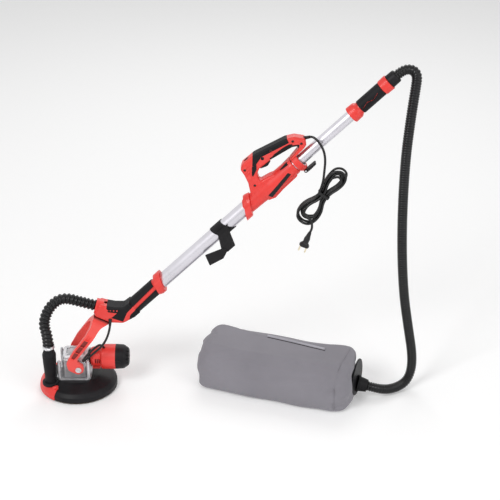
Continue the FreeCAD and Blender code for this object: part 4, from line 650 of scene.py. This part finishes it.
def inflate(obj, pressure, frames_run, cap, pinned):
    """Cloth under pressure without gravity, with each point's travel capped, applied to the mesh."""
    start = np.array([v.co for v in obj.data.vertices])
    group = obj.vertex_groups.new(name="pin")
    group.add([i for i, p in enumerate(start) if pinned(p)], 1.0, "REPLACE")
    cloth = obj.modifiers.new("cloth", "CLOTH")
    settings = cloth.settings
    settings.use_pressure = True
    settings.uniform_pressure_force = pressure
    settings.vertex_group_mass = "pin"
    settings.effector_weights.gravity = 0
    settings.tension_stiffness = 8
    settings.compression_stiffness = 8
    settings.bending_stiffness = 0.3
    settings.quality = 5
    cloth.point_cache.frame_end = frames_run
    scene = bpy.context.scene
    for i in range(1, frames_run + 1):
        scene.frame_set(i)
    apply_modifiers(obj)
    scene.frame_set(1)
    end = np.array([v.co for v in obj.data.vertices])
    move = end - start
    size = np.linalg.norm(move, axis=1)[:, None]
    move *= np.minimum(1, cap / np.maximum(size, 1e-9))
    obj.data.vertices.foreach_set("co", (start + move).astype(np.float32).ravel())


def swell(place, centre, spread, depth):
    """Smooth hill or dent round a centre; spread is its size along each axis of the bag."""
    return depth * math.exp(-sum(((p - c) / w) ** 2 for p, c, w in zip(place, centre, spread)))


def crease(place, start, end, width, depth):
    """Sharp valley with a soft lip along a line on the bag."""
    run = Vector(end) - Vector(start)
    share = max(0.0, min(1.0, (Vector(place) - Vector(start)).dot(run) / run.length_squared))
    gap = (Vector(place) - Vector(start) - run * share).length / width
    fade = math.sin(math.pi * min(1, max(0, share * 0.9 + 0.05))) ** 0.5
    return fade * depth * (0.55 * math.exp(-((gap - 1.9) / 1.0) ** 2) - math.exp(-gap ** 2))


# Start, end, half width and depth of each crease, in the bag's own frame.
CREASES = [((-222, -70, 96), (-205, -92, 40), 5, 6), ((-232, -30, 100), (-226, -80, 30), 5, 5),
           ((205, -78, 100), (196, -95, 24), 4.5, 5), ((222, -52, 92), (208, -84, 60), 4, 4),
           ((-60, -100, 100), (20, -103, 78), 9, 1.6), ((20, -103, 62), (120, -102, 74), 12, 1.6),
           ((-190, -70, 122), (-90, -88, 108), 7, 2.2), ((150, -96, 30), (212, -88, 12), 6, 3.2),
           ((-30, -30, 131), (90, -50, 130), 8, 2.2), ((-205, 20, 131), (-150, -40, 130), 7, 3.0),
           ((170, 60, 130), (214, 10, 124), 6, 3.5), ((-236, 10, 110), (-234, -10, 40), 6, 4.0),
           ((-238, 40, 120), (-236, -70, 86), 5, 5.0), ((-222, -96, 70), (-150, -103, 96), 6, 2.6),
           ((-216, -98, 22), (-140, -104, 44), 6, 2.4), ((190, -98, 112), (150, -103, 70), 6, 2.6),
           ((226, -60, 120), (206, -92, 88), 4, 4.5), ((228, -70, 50), (196, -98, 36), 5, 3.4)]
# Centre, size along each axis and height of each broad hill or dent, in the bag's own frame.
SWELLS = [((-232, -20, 62), (26, 60, 34), 8), ((-222, -76, 126), (24, 24, 18), -7),
          ((-238, 5, 116), (30, 56, 26), 13), ((-214, 62, 130), (30, 22, 22), 7),
          ((60, -95, 52), (120, 40, 34), 4), ((-110, -95, 60), (70, 40, 36), 3),
          ((0, 0, 134), (60, 70, 20), -3), ((228, -70, 118), (28, 30, 22), -7),
          ((222, -80, 22), (34, 30, 16), -6)]
BULGE, RIPPLE, GATHER = 5.0, 2.8, 1.5
SLACK = 1.2


def fold(p):
    """Depth of the bag's creases and dents at a point, in metres."""
    local = Vector(p) * 1000 - BAG_AT
    place = (local.dot(BAG_AXIS), local.dot(BAG_SIDE), local.z)
    x, y, z = place
    depth = noise.noise(Vector((x / 95, y / 80, z / 60))) * BULGE - SLACK
    depth += noise.noise(Vector((x / 150, y / 40 + 5, z / 20))) * RIPPLE
    ends = math.exp(-(((abs(x) - BAG_LENGTH / 2) / 34) ** 2))
    swirl = 2 * noise.noise(Vector((x / 40, y / 40, z / 40)))
    depth += math.sin((y * 0.9 + z) / 14 + 2 * swirl) * GATHER * ends
    depth += sum(swell(place, *swell_spec) for swell_spec in SWELLS)
    depth += sum(crease(place, *crease_spec) for crease_spec in CREASES)
    return depth / 1000


FINE_VOXEL, QUICK_VOXEL = 0.006, 0.008
RING_OFFSET, RING_R = 28, 57
FLOOR_GAP, TOP_ROOM = 0.0008, 0.010


def crease_cloth(obj):
    """Moves each point of the bag along its normal by its folds, and keeps it above the floor."""
    normals = [v.normal.copy() for v in obj.data.vertices]
    for vertex, normal in zip(obj.data.vertices, normals):
        moved = vertex.co + normal * (fold(vertex.co) - 0.001)
        vertex.co = (moved.x, moved.y, max(0.0015, moved.z))


def seat_ring(obj):
    """Presses the bag's end flat where the ring of its inlet sits."""
    seat = BAG_LENGTH / 2 - 1
    for vertex in obj.data.vertices:
        local = vertex.co * 1000 - BAG_AT
        x, y = local.dot(BAG_AXIS), local.dot(BAG_SIDE)
        inside = math.hypot(y - RING_OFFSET, local.z - BAG_HEIGHT / 2) < RING_R - 4
        if inside and x > seat:
            vertex.co -= BAG_AXIS * (x - seat) / 1000


def soften(obj):
    """One pass of smoothing and one subdivision."""
    smooth = obj.modifiers.new("smooth", "SMOOTH")
    smooth.factor, smooth.iterations = 0.5, 1
    subdivide = obj.modifiers.new("subdivide", "SUBSURF")
    subdivide.levels = subdivide.render_levels = 1
    apply_modifiers(obj)
    obj.data.polygons.foreach_set("use_smooth", [True] * len(obj.data.polygons))


bag = bag_shell()
remesh(bag, FINE_VOXEL)
ring_end = mm(*(BAG_AT + BAG_AXIS * (BAG_LENGTH / 2)))
inflate(bag, 3.0, 18, 0.006, lambda p: (Vector(p) - ring_end).dot(BAG_AXIS) > -0.014 or p[2] < 0.010)
crease_cloth(bag)
seat_ring(bag)
soften(bag)
bag_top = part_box("dust_bag")[1].z + TOP_ROOM
for vertex in bag.data.vertices:
    vertex.co.z = min(max(vertex.co.z, FLOOR_GAP), bag_top)
finish_piece(bag, "fabric_grey", "pole", ("dust_bag",))


def on_bag(x, y, z, lift=0.0):
    """The nearest point of the bag's cloth to a point of the bag's own frame, in metres."""
    place = BAG_AT + BAG_AXIS * x + BAG_SIDE * y + Vector((0, 0, z))
    _, spot, normal, _ = bag.closest_point_on_mesh(place / 1000)
    return spot + normal * lift


def piping(name, places, radius, slot="fabric_grey"):
    """Round welt laid on the cloth through places of the bag's own frame."""
    spots = [on_bag(*place, lift=radius * 0.4) * 1000 for place in places]
    welt = nurbs(name, [tuple(s) for s in spots], radius, resolution=6)
    welt.data.bevel_resolution = 2
    return finish_piece(welt, slot, "pole")


ABOVE_BAG = BAG_HEIGHT + 20
ZIP_SLOPE = 0.11
zip_line = [(x, 45 - ZIP_SLOPE * x, ABOVE_BAG) for x in range(-57, 143, 10)]
zip_welt = piping("bag_zip_welt", zip_line, 0.0044)
zip_welt.data.materials[0] = FINISH["zip_grey"]
tape_line = [(x, 40 - ZIP_SLOPE * x, ABOVE_BAG) for x in range(-55, 141, 10)]
piping("bag_zip_tape", tape_line, 0.0011, "webbing")
SEAM_AT = BAG_LENGTH / 2 - 26
seam_turns = [TAU * i / 24 for i in range(25)]
seam_loop = [(SEAM_AT, math.cos(a) * 130, BAG_HEIGHT / 2 + math.sin(a) * 110) for a in seam_turns]
piping("bag_end_seam", seam_loop, 0.0013)


# ---- stage -------------------------------------------------------------------------------------
def pale_floor():
    """Plain paper floor under everything."""
    bpy.ops.mesh.primitive_plane_add(size=30, location=(0, 0, -0.0004))
    floor = bpy.context.object
    floor.name = "floor"
    paper = bpy.data.materials.new("paper")
    paper.use_nodes = True
    base = paper.node_tree.nodes["Principled BSDF"]
    base.inputs["Base Color"].default_value = (0.90, 0.90, 0.90, 1)
    base.inputs["Emission Color"].default_value = (1, 1, 1, 1)
    base.inputs["Emission Strength"].default_value = 0.16
    base.inputs["Roughness"].default_value = 0.9
    base.inputs["Specular IOR Level"].default_value = 0.1
    floor.data.materials.append(paper)


def white_world(plain_light):
    """White where the camera, a reflection or clear material sees it, and dimmer as a light."""
    world = bpy.data.worlds.new("world")
    bpy.context.scene.world = world
    world.use_nodes = True
    tree = world.node_tree
    sky = tree.nodes["Background"]
    sky.inputs["Color"].default_value = (1, 1, 1, 1)
    path = tree.nodes.new("ShaderNodeLightPath")
    seen = path.outputs["Is Camera Ray"]
    for ray in ("Is Glossy Ray", "Is Transmission Ray"):
        either = tree.nodes.new("ShaderNodeMath")
        either.operation = "MAXIMUM"
        tree.links.new(seen, either.inputs[0])
        tree.links.new(path.outputs[ray], either.inputs[1])
        seen = either.outputs[0]
    strength = tree.nodes.new("ShaderNodeMapRange")
    strength.inputs["To Min"].default_value = plain_light
    strength.inputs["To Max"].default_value = 1.0
    tree.links.new(seen, strength.inputs["Value"])
    tree.links.new(strength.outputs["Result"], sky.inputs["Strength"])


def lamp(name, place, target, size, power):
    """Square soft light that faces a target."""
    data = bpy.data.lights.new(name, "AREA")
    data.shape = "SQUARE"
    data.size = size
    data.energy = power
    obj = link(bpy.data.objects.new(name, data))
    obj.location = place
    obj.rotation_euler = (Vector(target) - Vector(place)).to_track_quat("-Z", "Y").to_euler()


pale_floor()
white_world(0.50)
MIDDLE = (0.5, 0, 0.4)
lamp("key", (-1.6, -2.6, 3.2), MIDDLE, 1.6, 75)
lamp("fill", (2.8, -2.2, 1.8), MIDDLE, 2.0, 28)
lamp("back", (0.8, 2.6, 3.0), MIDDLE, 2.0, 30)

bpy.context.scene.view_settings.view_transform = "Standard"
bpy.context.view_layer.update()
